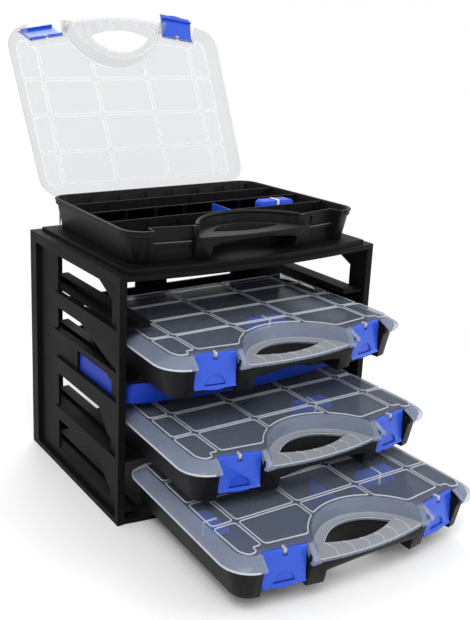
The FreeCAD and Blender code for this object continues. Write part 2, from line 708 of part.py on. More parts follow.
def lid_panels():
    """Plans of the raised panels on the lid, one above each compartment."""
    joint = size("panel_joint") / 2
    columns = [0.0, size("groove_pitch"), size("panel_split"), size("panel_edge")]
    rows = [size("first_row") + number * size("row_pitch") for number in range(3)]
    rows.append(size("rim_rear") - size("lid_in") - size("panel_rear"))
    slope = math.tan(TAPER_TURN)
    panels = []
    for row in range(3):
        y_low, y_high = rows[row] + joint, rows[row + 1] - joint
        panels.append([(-columns[1] + joint, y_low), (columns[1] - joint, y_low),
                       (columns[1] - joint, y_high), (-columns[1] + joint, y_high)])
        for side in (-1, 1):
            for inner, outer in ((columns[1], columns[2]), (columns[2], columns[3])):
                x_in, x_low, x_high = inner + joint, outer - joint, outer - joint
                if outer == columns[3]:
                    x_low, x_high = outer - slope * y_low, outer - slope * y_high
                points = [(x_in, y_low), (x_low, y_low), (x_high, y_high), (x_in, y_high)]
                points = [(side * x, y) for x, y in points]
                panels.append(points if side > 0 else points[::-1])
    front_low = size("first_row") - joint
    arch = size("arch_radius") + 5.0
    centre = size("arch_centre")
    for side in (-1, 1):
        narrow = [(columns[2] + joint, 13.0), (columns[2] + 14.0, 14.0), (columns[2] + 14.0, 5.0),
                  (columns[3] - 8.0, 3.0), (columns[3] - 1.0, 14.0), (columns[3] - 1.0, front_low),
                  (columns[2] + joint, front_low)]
        knee = columns[1] + joint
        wide = [(76.0, 4.0), (columns[2] - joint, 13.0), (columns[2] - joint, front_low), (knee, front_low),
                (knee, centre + math.sqrt(arch * arch - knee * knee)),
                (66.0, centre + math.sqrt(arch * arch - 66.0 ** 2))]
        for points in (narrow, wide):
            points = [(side * x, y) for x, y in points]
            panels.append(points if side > 0 else points[::-1])
    return panels


def make_lid(label):
    """The clear lid: plateau, sloping skirt, lip, handle deck and arch, latch lugs and hinge knuckles."""
    body = new_body(label)
    high, wall, gap = size("lid_height"), size("lid_wall"), size("lid_gap")
    out, inward, lip = size("lid_out"), size("lid_in"), size("lid_lip")
    rim_level = size("base_height") - 0.5
    lip_level = rim_level - lip

    lip_low = new_sketch(body, "lip", level=lip_level)
    add_path(lip_low, case_plan(-out))
    pad(body, lip_low, "lip", "Sizes.lid_lip")
    skirt_low = new_sketch(body, "skirt_low", level=rim_level)
    add_path(skirt_low, case_plan(-out))
    skirt_high = new_sketch(body, "skirt_high", level=high)
    add_path(skirt_high, case_plan(inward))
    loft(body, [skirt_low, skirt_high], "skirt")

    panels = new_sketch(body, "panels", level=high - JOIN)
    add_polygons(panels, lid_panels())
    pad(body, panels, "raised_panels", size("panel_rise") + JOIN)

    under_low = new_sketch(body, "under_low", level=lip_level - 0.1)
    add_path(under_low, case_plan(-out + wall))
    under_mid = new_sketch(body, "under_mid", level=rim_level)
    add_path(under_mid, case_plan(-out + wall))
    under_high = new_sketch(body, "under_high", level=high - wall)
    add_path(under_high, case_plan(inward + wall * 0.6))
    loft(body, [under_low, under_mid, under_high], "inside", subtract=True)

    deck_low = size("deck_top") - size("deck_plate")
    foot, crown = size("arch_foot"), size("arch_crown")
    zone = new_sketch(body, "handle_zone", level=deck_low - 1.0)
    add_path(zone, arch_plan(size("arch_radius") - 2 * gap, BEYOND_FRONT))
    cut(body, zone, "handle_clearance", "Sizes.lid_height")

    arch_low = new_sketch(body, "arch_low", level=deck_low)
    add_path(arch_low, grip_plan(foot))
    arch_high = new_sketch(body, "arch_high", level=high)
    add_path(arch_high, grip_plan(crown))
    loft(body, [arch_low, arch_high], "arch_block")
    slope = (crown - foot) / (high - deck_low)
    hollow_low = new_sketch(body, "hollow_low", level=size("deck_top"))
    add_path(hollow_low, grip_plan(foot + slope * size("deck_plate") - wall, wall))
    hollow_high = new_sketch(body, "hollow_high", level=high + JOIN)
    add_path(hollow_high, grip_plan(crown + slope * JOIN - wall, wall))
    loft(body, [hollow_low, hollow_high], "arch_hollow", subtract=True)
    opening = new_sketch(body, "finger_opening", level=deck_low - JOIN)
    add_path(opening, opening_plan(size("opening_step")))
    cut(body, opening, "finger_hole", "Sizes.lid_height")
    cells = new_sketch(body, "grip_cells", level=size("deck_top") - JOIN)
    count, pitch, half_cell = int(size("cell_count")), size("cell_pitch"), size("cell_wide") / 2
    grip_half = math.sqrt(foot ** 2 - (GRIP_END - size("arch_centre")) ** 2)
    for number in range(count):
        middle = (number - (count - 1) / 2) * pitch
        corners = []
        for x in (middle - half_cell, middle + half_cell):
            front = across_arc(x, grip_half, GRIP_END, size("grip_front")) + wall
            back = across_arc(x, size("opening_half"), size("opening_side"), size("opening_front")) - wall
            corners.append(((x, front), (x, back)))
        (left_low, left_high), (right_low, right_high) = corners
        add_polygons(cells, [[left_low, right_low, right_high, left_high]])
    pad(body, cells, "grip_cells", size("cell_high") + JOIN)

    slope_front, slope_rear = size("shoulder_front"), size("shoulder_rear")
    run = wall * 2
    for side, name in ((-1, "left"), (1, "right")):
        inner, outer = size("shoulder_inner"), size("shoulder_outer")
        shoulder = new_sketch(body, f"shoulder_{name}", "YZ_Plane", side * (inner + outer) / 2)
        add_polygons(shoulder, [[(slope_rear, high), (slope_rear - run, high), (slope_front, size("deck_top")),
                                 (slope_front, deck_low), (slope_front + run, deck_low),
                                 (slope_rear, high - run)]])
        pad(body, shoulder, f"shoulder_{name}", "Sizes.shoulder_outer - Sizes.shoulder_inner", both=True)

    near = size("lid_pocket_back")
    pockets = new_sketch(body, "pockets", level=deck_low - 2.0)
    for side in (-1, 1):
        add_polygons(pockets, [pocket_corners(side, size("pocket_wide") / 2, near + 0.1)])
    cut(body, pockets, "latch_pockets", "Sizes.lid_height")
    backs_level = size("base_height") + gap
    backs = new_sketch(body, "pocket_backs", level=backs_level)
    half_pocket, half_lug, half_high = size("pocket_wide") / 2, size("lug_wide") / 2, size("lug_half_high")
    lugs = []
    for side in (-1, 1):
        corners = [latch_point(side, -half_pocket, near), latch_point(side, half_pocket, near),
                   latch_point(side, half_pocket, near + wall), latch_point(side, -half_pocket, near + wall)]
        add_polygons(backs, [corners])
        lugs.append([latch_point(side, -half_lug, 0.0), latch_point(side, half_lug, 0.0),
                     latch_point(side, half_lug, near + gap), latch_point(side, -half_lug, near + gap)])
    pad(body, backs, "pocket_walls", high - backs_level)
    lug_sketch = new_sketch(body, "latch_lugs", level=size("rod_height") - half_high)
    add_polygons(lug_sketch, lugs)
    pad(body, lug_sketch, "latch_lug", "2 * Sizes.lug_half_high")

    axis_y, axis_z = size("hinge_back"), size("hinge_height")
    notches = new_sketch(body, "hinge_notches", level=lip_level - 1.0)
    for side in (-1, 1):
        for hand in (-1, 1):
            middle = side * size("hinge_place") + hand * HINGE_STEP
            reach = size("lug_half") + size("hinge_gap")
            behind = axis_y - size("lug_radius") - size("hinge_gap")
            add_box(notches, middle - reach, middle + reach, behind, axis_y + size("lug_radius"))
    cut(body, notches, "hinge_notches", "Sizes.lid_height")
    for side, name in ((-1, "left"), (1, "right")):
        knuckle = new_sketch(body, f"knuckle_{name}", "YZ_Plane", side * size("hinge_place"))
        reach = size("knuckle_radius")
        lip_out = size("rim_rear") + out
        add_path(knuckle, [
            ((lip_out - wall, lip_level + JOIN), (axis_y - reach, axis_z)),
            ((axis_y - reach, axis_z), (axis_y, axis_z - reach), (axis_y + reach, axis_z)),
            ((axis_y + reach, axis_z), (lip_out + JOIN, rim_level - JOIN)),
            ((lip_out + JOIN, rim_level - JOIN), (lip_out - wall, rim_level - JOIN)),
            ((lip_out - wall, rim_level - JOIN), (lip_out - wall, lip_level + JOIN)),
        ])
        pad(body, knuckle, f"hinge_knuckle_{name}", "2 * Sizes.knuckle_half", both=True)
        pin = new_sketch(body, f"pin_{name}", "YZ_Plane", side * size("hinge_place"))
        add_circle(pin, axis_y, axis_z, size("hinge_pin"))
        pin_length = "2 * (Sizes.knuckle_half + 2 * Sizes.lug_half + 2 * Sizes.hinge_gap)"
        pad(body, pin, f"hinge_pin_{name}", pin_length, both=True)
    return body


def cut_lug_bores(body):
    """The eye in each latch lug, along the latch's own rod."""
    for side, name in ((-1, "left"), (1, "right")):
        place = rod_place(side)
        eye = new_sketch(body, f"eye_{name}", "YZ_Plane")
        eye.AttachmentOffset = Placement()
        body.recompute()
        turned = Placement(place, Rotation(Vector(0, 0, 1), side * size("latch_turn")))
        base = Placement(eye.Placement)
        eye.AttachmentOffset = base.inverse().multiply(turned).multiply(base)
        add_circle(eye, 0.0, 0.0, size("rod_radius") + size("eye_gap"))
        cut(body, eye, f"lug_eye_{name}", "1.5 * Sizes.lug_wide", both=True)


def rod_place(side):
    """Middle of a latch's rod in the case's frame."""
    x, y = latch_point(side, 0.0, size("rod_out"))
    return Vector(x, y, size("rod_height"))


def make_latch(label):
    """A latch in its own frame: X along its rod, Y to the rear, Z up, the origin on the rod's axis."""
    body = new_body(label)
    out = size("rod_out")
    low = size("latch_low") - size("rod_height")
    catch, under = size("hook_top") - size("rod_height"), size("hook_low") - size("rod_height")
    face, inner = -out, -out + size("latch_thick")
    hook = inner + size("hook_reach")
    bulge, foot, flare = face - size("latch_bulge"), face - size("latch_foot"), face - size("latch_flare")
    shin = low + size("flare_high")
    plate = new_sketch(body, "section", "YZ_Plane")
    add_path(plate, [
        ((inner, 0.0), (face, 0.0)),
        ((face, 0.0), (bulge, low / 2), (foot, shin)),
        ((foot, shin), (flare, low)),
        ((flare, low), (foot, low - 0.6)),
        ((foot, low - 0.6), (inner, under)),
        ((inner, under), (hook, under + 0.8)),
        ((hook, under + 0.8), (hook, catch)),
        ((hook, catch), (inner, catch)),
        ((inner, catch), (inner, 0.0)),
    ])
    pad(body, plate, "plate", "Sizes.latch_wide", both=True)
    barrel = new_sketch(body, "barrel", "YZ_Plane")
    add_circle(barrel, 0.0, 0.0, out)
    pad(body, barrel, "hinge_barrel", "Sizes.latch_wide", both=True)
    notch_half = size("lug_wide") / 2 + size("lug_gap")
    notch_low = -math.hypot(out, size("lug_half_high")) - 2 * size("lug_gap")
    notch = new_sketch(body, "notch", "XZ_Plane")
    add_box(notch, -notch_half, notch_half, notch_low, out + 1.0)
    cut(body, notch, "lug_notch", "Sizes.latch_wide", both=True)
    core = new_sketch(body, "core", "YZ_Plane")
    add_circle(core, 0.0, 0.0, size("rod_radius"))
    pad(body, core, "rod_core", "2 * Sizes.lug_wide", both=True)
    dish_half = size("dish_half")
    before = size("latch_flare") + out + 1.0
    dish = new_sketch(body, "dish", "XZ_Plane", before)
    add_path(dish, [
        ((-dish_half, shin), (dish_half, shin)),
        ((dish_half, shin), (0.0, shin + size("dish_high")), (-dish_half, shin)),
    ])
    cut(body, dish, "thumb_dish", before + bulge + size("dish_deep"), upward=False)
    lip = new_sketch(body, "lip", "XZ_Plane", -foot)
    lip_half = size("lip_half")
    add_path(lip, [
        ((-lip_half, low + JOIN), (0.0, low - size("lip_drop")), (lip_half, low + JOIN)),
        ((lip_half, low + JOIN), (-lip_half, low + JOIN)),
    ])
    pad(body, lip, "thumb_lip", "Sizes.lip_out")
    return body


def make_divider(label):
    """One thin divider plate, standing along Y with its middle at the origin of its own frame."""
    plate = doc.addObject("Part::Box", label)
    plate.Label = label
    plate.setExpression("Length", "Sizes.divider_thick")
    plate.setExpression("Width", "Sizes.divider_length")
    plate.setExpression("Height", "Sizes.divider_high")
    return plate


def make_stack(label):
    """A bundle of spare dividers side by side, as one node of separate plates."""
    count = int(size("stack_count"))
    long, thick = size("divider_length"), size("divider_thick")
    plates = []
    for number in range(count):
        shift = (number - (count - 1) / 2) * size("stack_pitch")
        corner = Vector(-long / 2, shift - thick / 2, 0)
        plates.append(Part.makeBox(long, thick, size("divider_high"), corner))
    stack = doc.addObject("Part::Feature", label)
    stack.Label = label
    stack.Shape = Part.makeCompound(plates)
    return stack


def make_stack_band(label):
    """The elastic band round a bundle of dividers."""
    body = new_body(label)
    gap, thick = size("insert_gap"), size("band_thick")
    deep = (size("stack_count") - 1) * size("stack_pitch") / 2 + size("divider_thick") / 2 + gap
    low, high = -gap, size("divider_high") + gap
    ring = new_sketch(body, "ring", "YZ_Plane")
    add_box(ring, -deep - thick, deep + thick, low - thick, high + thick)
    add_box(ring, -deep, deep, low, high)
    pad(body, ring, "loop", "Sizes.band_wide", both=True)
    return body


# Assembly

CASES = {
    "upper": (FLOORS["upper"], size("upper_pull")),
    "middle": (FLOORS["middle"], size("middle_pull")),
    "lower": (FLOORS["lower"], size("lower_pull")),
}


def case_frame(name):
    """Placement of a case's frame in the rack's."""
    if name == "top":
        height = size("rack_height") + size("platform_height")
        return Placement(Vector(0, FRONT + size("top_setback"), height), Rotation())
    floor, pull = CASES[name]
    return Placement(Vector(0, FRONT - pull, floor + size("slide_gap")), Rotation())


def turn_about(point, axis, degrees):
    """A turn about an axis through a point."""
    spin = Rotation(axis, degrees)
    return Placement(point - spin.multVec(point), spin)


def case_place(name, part):
    """Placement of one of a case's pieces: the top case is open, the others are shut."""
    place = case_frame(name)
    if part == "base":
        return place
    is_open = name == "top"
    x_axis = Vector(1, 0, 0)
    if is_open:
        hinge = Vector(0, size("hinge_back"), size("hinge_height"))
        place = place.multiply(turn_about(hinge, x_axis, -size("lid_open")))
    if part == "lid":
        return place
    hand = part.split("_")[1]
    side = -1 if hand == "left" else 1
    seat = Placement(rod_place(side), Rotation(Vector(0, 0, 1), side * size("latch_turn")))
    swing = -size(f"latch_open_{hand}") if is_open else 0.0
    return place.multiply(seat).multiply(Placement(Vector(), Rotation(x_axis, swing)))


def build():
    """Make and place every piece; returns the pieces to write."""
    pieces = [finished(body) for body in (
        make_side_panel("rack_side_left", -1),
        make_side_panel("rack_side_right", 1),
        make_bottom_deck(),
        make_top_deck(),
        make_rear_frame(),
        make_mid_shelf(),
    )]
    masters = {"base": finished(make_base("top_case_base")), "lid": make_lid("top_case_lid")}
    cut_lug_bores(masters["lid"])
    finished(masters["lid"])
    for hand in ("left", "right"):
        masters[f"latch_{hand}"] = finished(make_latch(f"top_case_latch_{hand}"))
    for name in ("top", "upper", "middle", "lower"):
        for part, master in masters.items():
            piece = master if name == "top" else copy_of(master, f"{name}_case_{part}")
            piece.Placement = case_place(name, part)
            pieces.append(piece)
    pieces += place_inserts()
    return pieces


def place_inserts():
    """Dividers and bundles of dividers in the compartments."""
    row_middle = size("first_row") + size("row_pitch") / 2
    level = size("base_floor") + 2 * size("insert_gap")
    pieces = []
    stacks = {
        "top": ("top_case_divider_stack", 112.0, row_middle, 0.0),
        "upper": ("upper_case_divider_stack", 30.0, row_middle, 0.0),
        "middle": ("middle_case_divider_stack", 70.0, row_middle, 0.0),
        "lower": ("lower_case_divider_stack", 108.0, row_middle, 0.0),
        "lower_side": ("lower_case_side_stack", -149.0, row_middle, 90.0),
    }
    for key, (label, x, y, turn) in stacks.items():
        frame = case_frame(key.split("_")[0])
        place = frame.multiply(Placement(Vector(x, y, level + size("band_thick")),
                                         Rotation(Vector(0, 0, 1), turn)))
        stack, band = make_stack(label), make_stack_band(f"{label}_band")
        stack.Placement = place
        band.Placement = place
        pieces += [stack, band]
    corner = Vector(size("divider_place") - size("divider_thick") / 2,
                    row_middle - size("divider_length") / 2, level)
    for name in ("top", "lower"):
        divider = make_divider(f"{name}_case_divider")
        divider.Placement = case_frame(name).multiply(Placement(corner, Rotation()))
        pieces.append(divider)
    return pieces


def write(pieces):
    """Check every object of the document, then write each piece to its own file."""
    doc.recompute()
    for item in doc.Objects:
        if "Invalid" in item.State or "Error" in item.State:
            raise RuntimeError(f"{item.Name} failed: {item.State}")
    for piece in pieces:
        shape = piece.Shape
        if shape.isNull() or not shape.isValid():
            raise RuntimeError(f"{piece.Label} has no valid shape")
        shape.exportStep(f"parts/{piece.Label}.step")
        print(f"{piece.Label}: {len(shape.Solids)} solid(s), {shape.Volume / 1000.0:.1f} cm3")


write(build())
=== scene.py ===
"""Rack with four compartment cases: three drawn out of their slots, one open on the platform.

Metres, +Z up, the rack's front towards -Y.  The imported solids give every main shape; this file gives them
their finishes, rounds their edges and adds the mouldings that are too fine for the solids.
"""
import json
import logging
import math
from dataclasses import dataclass, field
from enum import Enum
from typing import Iterable, Sequence

import bpy
from mathutils import Matrix, Vector


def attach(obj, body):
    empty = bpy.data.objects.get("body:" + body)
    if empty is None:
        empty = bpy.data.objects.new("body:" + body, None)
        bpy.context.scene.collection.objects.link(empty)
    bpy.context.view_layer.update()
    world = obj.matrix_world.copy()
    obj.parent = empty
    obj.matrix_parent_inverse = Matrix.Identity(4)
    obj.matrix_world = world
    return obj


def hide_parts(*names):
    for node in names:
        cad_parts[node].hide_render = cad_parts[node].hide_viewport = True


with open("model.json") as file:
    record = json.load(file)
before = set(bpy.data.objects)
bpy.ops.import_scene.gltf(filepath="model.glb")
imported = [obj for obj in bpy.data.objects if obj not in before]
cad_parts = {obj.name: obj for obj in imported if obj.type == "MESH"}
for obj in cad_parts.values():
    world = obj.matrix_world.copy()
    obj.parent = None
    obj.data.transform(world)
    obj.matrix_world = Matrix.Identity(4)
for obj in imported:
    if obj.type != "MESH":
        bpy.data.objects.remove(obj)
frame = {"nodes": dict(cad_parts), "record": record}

LOG = logging.getLogger("case_rack")
MM = 0.001
Point = tuple[float, float]
Place = tuple[float, float, float]
Colour = tuple[float, float, float, float]


class Hand(Enum):
    """Side of a case, seen from its front."""

    LEFT = -1
    RIGHT = 1


# Working in Blender

def select_only(*objects: bpy.types.Object) -> None:
    """Select these objects and nothing else; the last one is active."""
    if bpy.context.mode != "OBJECT":
        bpy.ops.object.mode_set(mode="OBJECT")
    bpy.ops.object.select_all(action="DESELECT")
    for item in objects:
        item.select_set(True)
    bpy.context.view_layer.objects.active = objects[-1] if objects else None


def apply_modifiers(piece: bpy.types.Object) -> None:
    """Apply every modifier of a piece, first to last."""
    select_only(piece)
    for modifier in list(piece.modifiers):
        bpy.ops.object.modifier_apply(modifier=modifier.name)


def settle(piece: bpy.types.Object, place: Matrix | None = None) -> None:
    """Put a piece in its place and move that place into its mesh.

    Args:
        piece: The finished piece.
        place: Where it goes; its present place if left out.
    """
    if place is not None:
        piece.matrix_world = place @ piece.matrix_world
    select_only(piece)
    bpy.ops.object.transform_apply(location=True, rotation=True, scale=True)


def smooth(piece: bpy.types.Object, degrees: float = 35.0) -> None:
    """Shade a piece smooth where its faces meet at less than an angle."""
    select_only(piece)
    bpy.ops.object.shade_smooth_by_angle(angle=math.radians(degrees))


def own_copy(piece: bpy.types.Object, name: str) -> bpy.types.Object:
    """A copy of a piece that has its own mesh.

    Args:
        piece: The piece to copy.
        name: The copy's name.

    Returns:
        The copy, in the scene.
    """
    twin = piece.copy()
    twin.data = piece.data.copy()
    twin.name = name
    bpy.context.scene.collection.objects.link(twin)
    return twin


def paint(item: bpy.types.Object, material: bpy.types.Material) -> None:
    """Give an object one material all over."""
    if not item.material_slots:
        item.data.materials.append(material)
    for slot in item.material_slots:
        slot.material = material


def rounded(points: Sequence[Point], radius: float, steps: int = 4) -> list[Point]:
    """A closed outline with its corners rounded.

    Args:
        points: The corners in order.
        radius: The rounding, made smaller where a side is short.
        steps: How many points one corner gets, less one.

    Returns:
        The points of the rounded outline.
    """
    result: list[Point] = []
    count = len(points)
    for index, corner in enumerate(points):
        here = Vector(corner)
        to_last = Vector(points[index - 1]) - here
        to_next = Vector(points[(index + 1) % count]) - here
        reach = min(radius, to_last.length * 0.45, to_next.length * 0.45)
        start, end = here + to_last.normalized() * reach, here + to_next.normalized() * reach
        for step in range(steps + 1):
            share = step / steps
            spot = start.lerp(here, share).lerp(here.lerp(end, share), share)
            result.append((spot.x, spot.y))
    return result


def tubes(name: str, paths: Iterable[Sequence[Place]], radius: float, closed: bool = True,
          sides: int = 2) -> bpy.types.Object:
    """Round beads along paths, as one mesh.

    Args:
        name: The piece's name.
        paths: The middle line of each bead.
        radius: The beads' radius.
        closed: Whether each path ends where it starts.
        sides: Bevel resolution of the bead's section.

    Returns:
        The mesh object.
    """
    curve = bpy.data.curves.new(name, "CURVE")
    curve.dimensions = "3D"
    curve.bevel_depth = radius
    curve.bevel_resolution = sides
    curve.use_fill_caps = not closed
    for path in paths:
        spline = curve.splines.new("POLY")
        spline.points.add(len(path) - 1)
        for point, spot in zip(spline.points, path):
            point.co = (*spot, 1.0)
        spline.use_cyclic_u = closed
    piece = bpy.data.objects.new(name, curve)
    bpy.context.scene.collection.objects.link(piece)
    select_only(piece)
    bpy.ops.object.convert(target="MESH")
    bpy.ops.object.shade_smooth()
    return piece


# Finishes

def new_group(name: str, inputs: dict[str, float], outputs: dict[str, str]) -> bpy.types.NodeTree:
    """An empty shader node group with named sockets.

    Args:
        name: The group's name.
        inputs: Each input and its usual value.
        outputs: Each output and its socket type.

    Returns:
        The group, with its input and output nodes in it.
    """
    group = bpy.data.node_groups.new(name, "ShaderNodeTree")
    for label, value in inputs.items():
        socket = group.interface.new_socket(name=label, in_out="INPUT", socket_type="NodeSocketFloat")
        socket.default_value = value
    for label, kind in outputs.items():
        group.interface.new_socket(name=label, in_out="OUTPUT", socket_type=kind)
    group.nodes.new("NodeGroupInput")
    group.nodes.new("NodeGroupOutput")
    return group


def moulding_grain() -> bpy.types.NodeTree:
    """Fine spark-eroded texture with slow changes of gloss, as moulded plastic has.

    Returns:
        A group with outputs Height, Gloss and Tone.
    """
    group = new_group("moulding_grain", {"Scale": 900.0, "Patch": 14.0, "Streak": 0.35},
                      {"Height": "NodeSocketFloat", "Gloss": "NodeSocketFloat", "Tone": "NodeSocketFloat"})
    nodes, links = group.nodes, group.links
    source, sink = nodes["Group Input"], nodes["Group Output"]
    place = nodes.new("ShaderNodeTexCoord")
    fine = nodes.new("ShaderNodeTexNoise")
    fine.inputs["Detail"].default_value = 3.0
    fine.inputs["Roughness"].default_value = 0.6
    slow = nodes.new("ShaderNodeTexNoise")
    slow.inputs["Detail"].default_value = 4.0
    rubbed = nodes.new("ShaderNodeTexNoise")
    rubbed.inputs["Detail"].default_value = 6.0
    rubbed.inputs["Roughness"].default_value = 0.7
    stretch = nodes.new("ShaderNodeMapping")
    stretch.inputs["Scale"].default_value = (6.0, 1.0, 1.0)
    for texture in (fine, slow):
        links.new(place.outputs["Object"], texture.inputs["Vector"])
    links.new(place.outputs["Object"], stretch.inputs["Vector"])
    links.new(stretch.outputs["Vector"], rubbed.inputs["Vector"])
    links.new(source.outputs["Scale"], fine.inputs["Scale"])
    links.new(source.outputs["Patch"], slow.inputs["Scale"])
    rubbed.inputs["Scale"].default_value = 45.0
    mix = nodes.new("ShaderNodeMix")
    links.new(source.outputs["Streak"], mix.inputs["Factor"])
    links.new(slow.outputs["Fac"], mix.inputs["A"])
    links.new(rubbed.outputs["Fac"], mix.inputs["B"])
    links.new(fine.outputs["Fac"], sink.inputs["Height"])
    links.new(mix.outputs["Result"], sink.inputs["Gloss"])
    links.new(slow.outputs["Fac"], sink.inputs["Tone"])
    return group


def wall_density() -> bpy.types.NodeTree:
    """How much light a clear wall stops: least where it lies flat, more on slopes, most where it stands.

    Returns:
        A group with output Density.
    """
    group = new_group("wall_density", {"Up Y": 0.0, "Up Z": 1.0, "Flat": 0.15, "Slope": 0.4, "Wall": 0.5},
                      {"Density": "NodeSocketFloat"})
    nodes, links = group.nodes, group.links
    source, sink = nodes["Group Input"], nodes["Group Output"]
    place = nodes.new("ShaderNodeTexCoord")
    upward = nodes.new("ShaderNodeCombineXYZ")
    links.new(source.outputs["Up Y"], upward.inputs["Y"])
    links.new(source.outputs["Up Z"], upward.inputs["Z"])
    facing = nodes.new("ShaderNodeVectorMath")
    facing.operation = "DOT_PRODUCT"
    links.new(place.outputs["Normal"], facing.inputs[0])
    links.new(upward.outputs["Vector"], facing.inputs[1])
    level = nodes.new("ShaderNodeMath")
    level.operation = "ABSOLUTE"
    links.new(facing.outputs["Value"], level.inputs[0])
    last = source.outputs["Flat"]
    for label, near, far in (("Slope", 0.985, 0.9), ("Wall", 0.75, 0.35)):
        share = nodes.new("ShaderNodeMapRange")
        share.inputs["From Min"].default_value = near
        share.inputs["From Max"].default_value = far
        links.new(level.outputs[0], share.inputs["Value"])
        mix = nodes.new("ShaderNodeMix")
        links.new(share.outputs["Result"], mix.inputs["Factor"])
        links.new(last, mix.inputs["A"])
        links.new(source.outputs[label], mix.inputs["B"])
        last = mix.outputs["Result"]
    links.new(last, sink.inputs["Density"])
    return group


@dataclass(frozen=True)
class PlasticFinish:
    """A moulded plastic: colour, gloss, grain and, for clear parts, how much light it stops; some have a
    painted glow, a white emission that stands in for light on them.
    """

    name: str
    dark: Colour
    light: Colour
    rough_low: float
    rough_high: float
    grain_scale: float = 900.0
    grain_height: float = 0.25
    grain_depth: float = 0.00006
    streak: float = 0.35
    alpha: float = 1.0
    slope_alpha: float = 1.0
    wall_alpha: float = 1.0
    upward: Point = (0.0, 1.0)
    specular: float = 0.5
    painted_glow: float = 0.0

    def make(self, grain: bpy.types.NodeTree, veil: bpy.types.NodeTree) -> bpy.types.Material:
        """The finish as a material.

        Args:
            grain: The shared grain group.
            veil: The shared group that makes sloping clear walls denser.

        Returns:
            The new material.
        """
        material = bpy.data.materials.new(self.name)
        material.use_nodes = True
        nodes, links = material.node_tree.nodes, material.node_tree.links
        shader = nodes["Principled BSDF"]
        shader.inputs["Specular IOR Level"].default_value = self.specular
        # White emission for a finish's painted glow: painted light on parts that are no lamp.
        shader.inputs["Emission Color"].default_value = (1.0, 1.0, 1.0, 1.0)
        shader.inputs["Emission Strength"].default_value = self.painted_glow
        texture = nodes.new("ShaderNodeGroup")
        texture.node_tree = grain
        texture.inputs["Scale"].default_value = self.grain_scale
        texture.inputs["Streak"].default_value = self.streak
        tint = nodes.new("ShaderNodeMix")
        tint.data_type = "RGBA"
        tint.inputs["A"].default_value = self.dark
        tint.inputs["B"].default_value = self.light
        links.new(texture.outputs["Tone"], tint.inputs["Factor"])
        links.new(tint.outputs["Result"], shader.inputs["Base Color"])
        gloss = nodes.new("ShaderNodeMapRange")
        gloss.inputs["From Min"].default_value = 0.3
        gloss.inputs["From Max"].default_value = 0.7
        gloss.inputs["To Min"].default_value = self.rough_low
        gloss.inputs["To Max"].default_value = self.rough_high
        links.new(texture.outputs["Gloss"], gloss.inputs["Value"])
        links.new(gloss.outputs["Result"], shader.inputs["Roughness"])
        bump = nodes.new("ShaderNodeBump")
        bump.inputs["Strength"].default_value = self.grain_height
        bump.inputs["Distance"].default_value = self.grain_depth
        links.new(texture.outputs["Height"], bump.inputs["Height"])
        links.new(bump.outputs["Normal"], shader.inputs["Normal"])
        if self.alpha < 1.0:
            density = nodes.new("ShaderNodeGroup")
            density.node_tree = veil
            for label, value in (("Up Y", self.upward[0]), ("Up Z", self.upward[1]), ("Flat", self.alpha),
                                 ("Slope", self.slope_alpha), ("Wall", self.wall_alpha)):
                density.inputs[label].default_value = value
            links.new(density.outputs["Density"], shader.inputs["Alpha"])
        return material


LID_OPEN = 117.0
OPEN_UP: Point = (math.sin(math.radians(LID_OPEN)), math.cos(math.radians(LID_OPEN)))

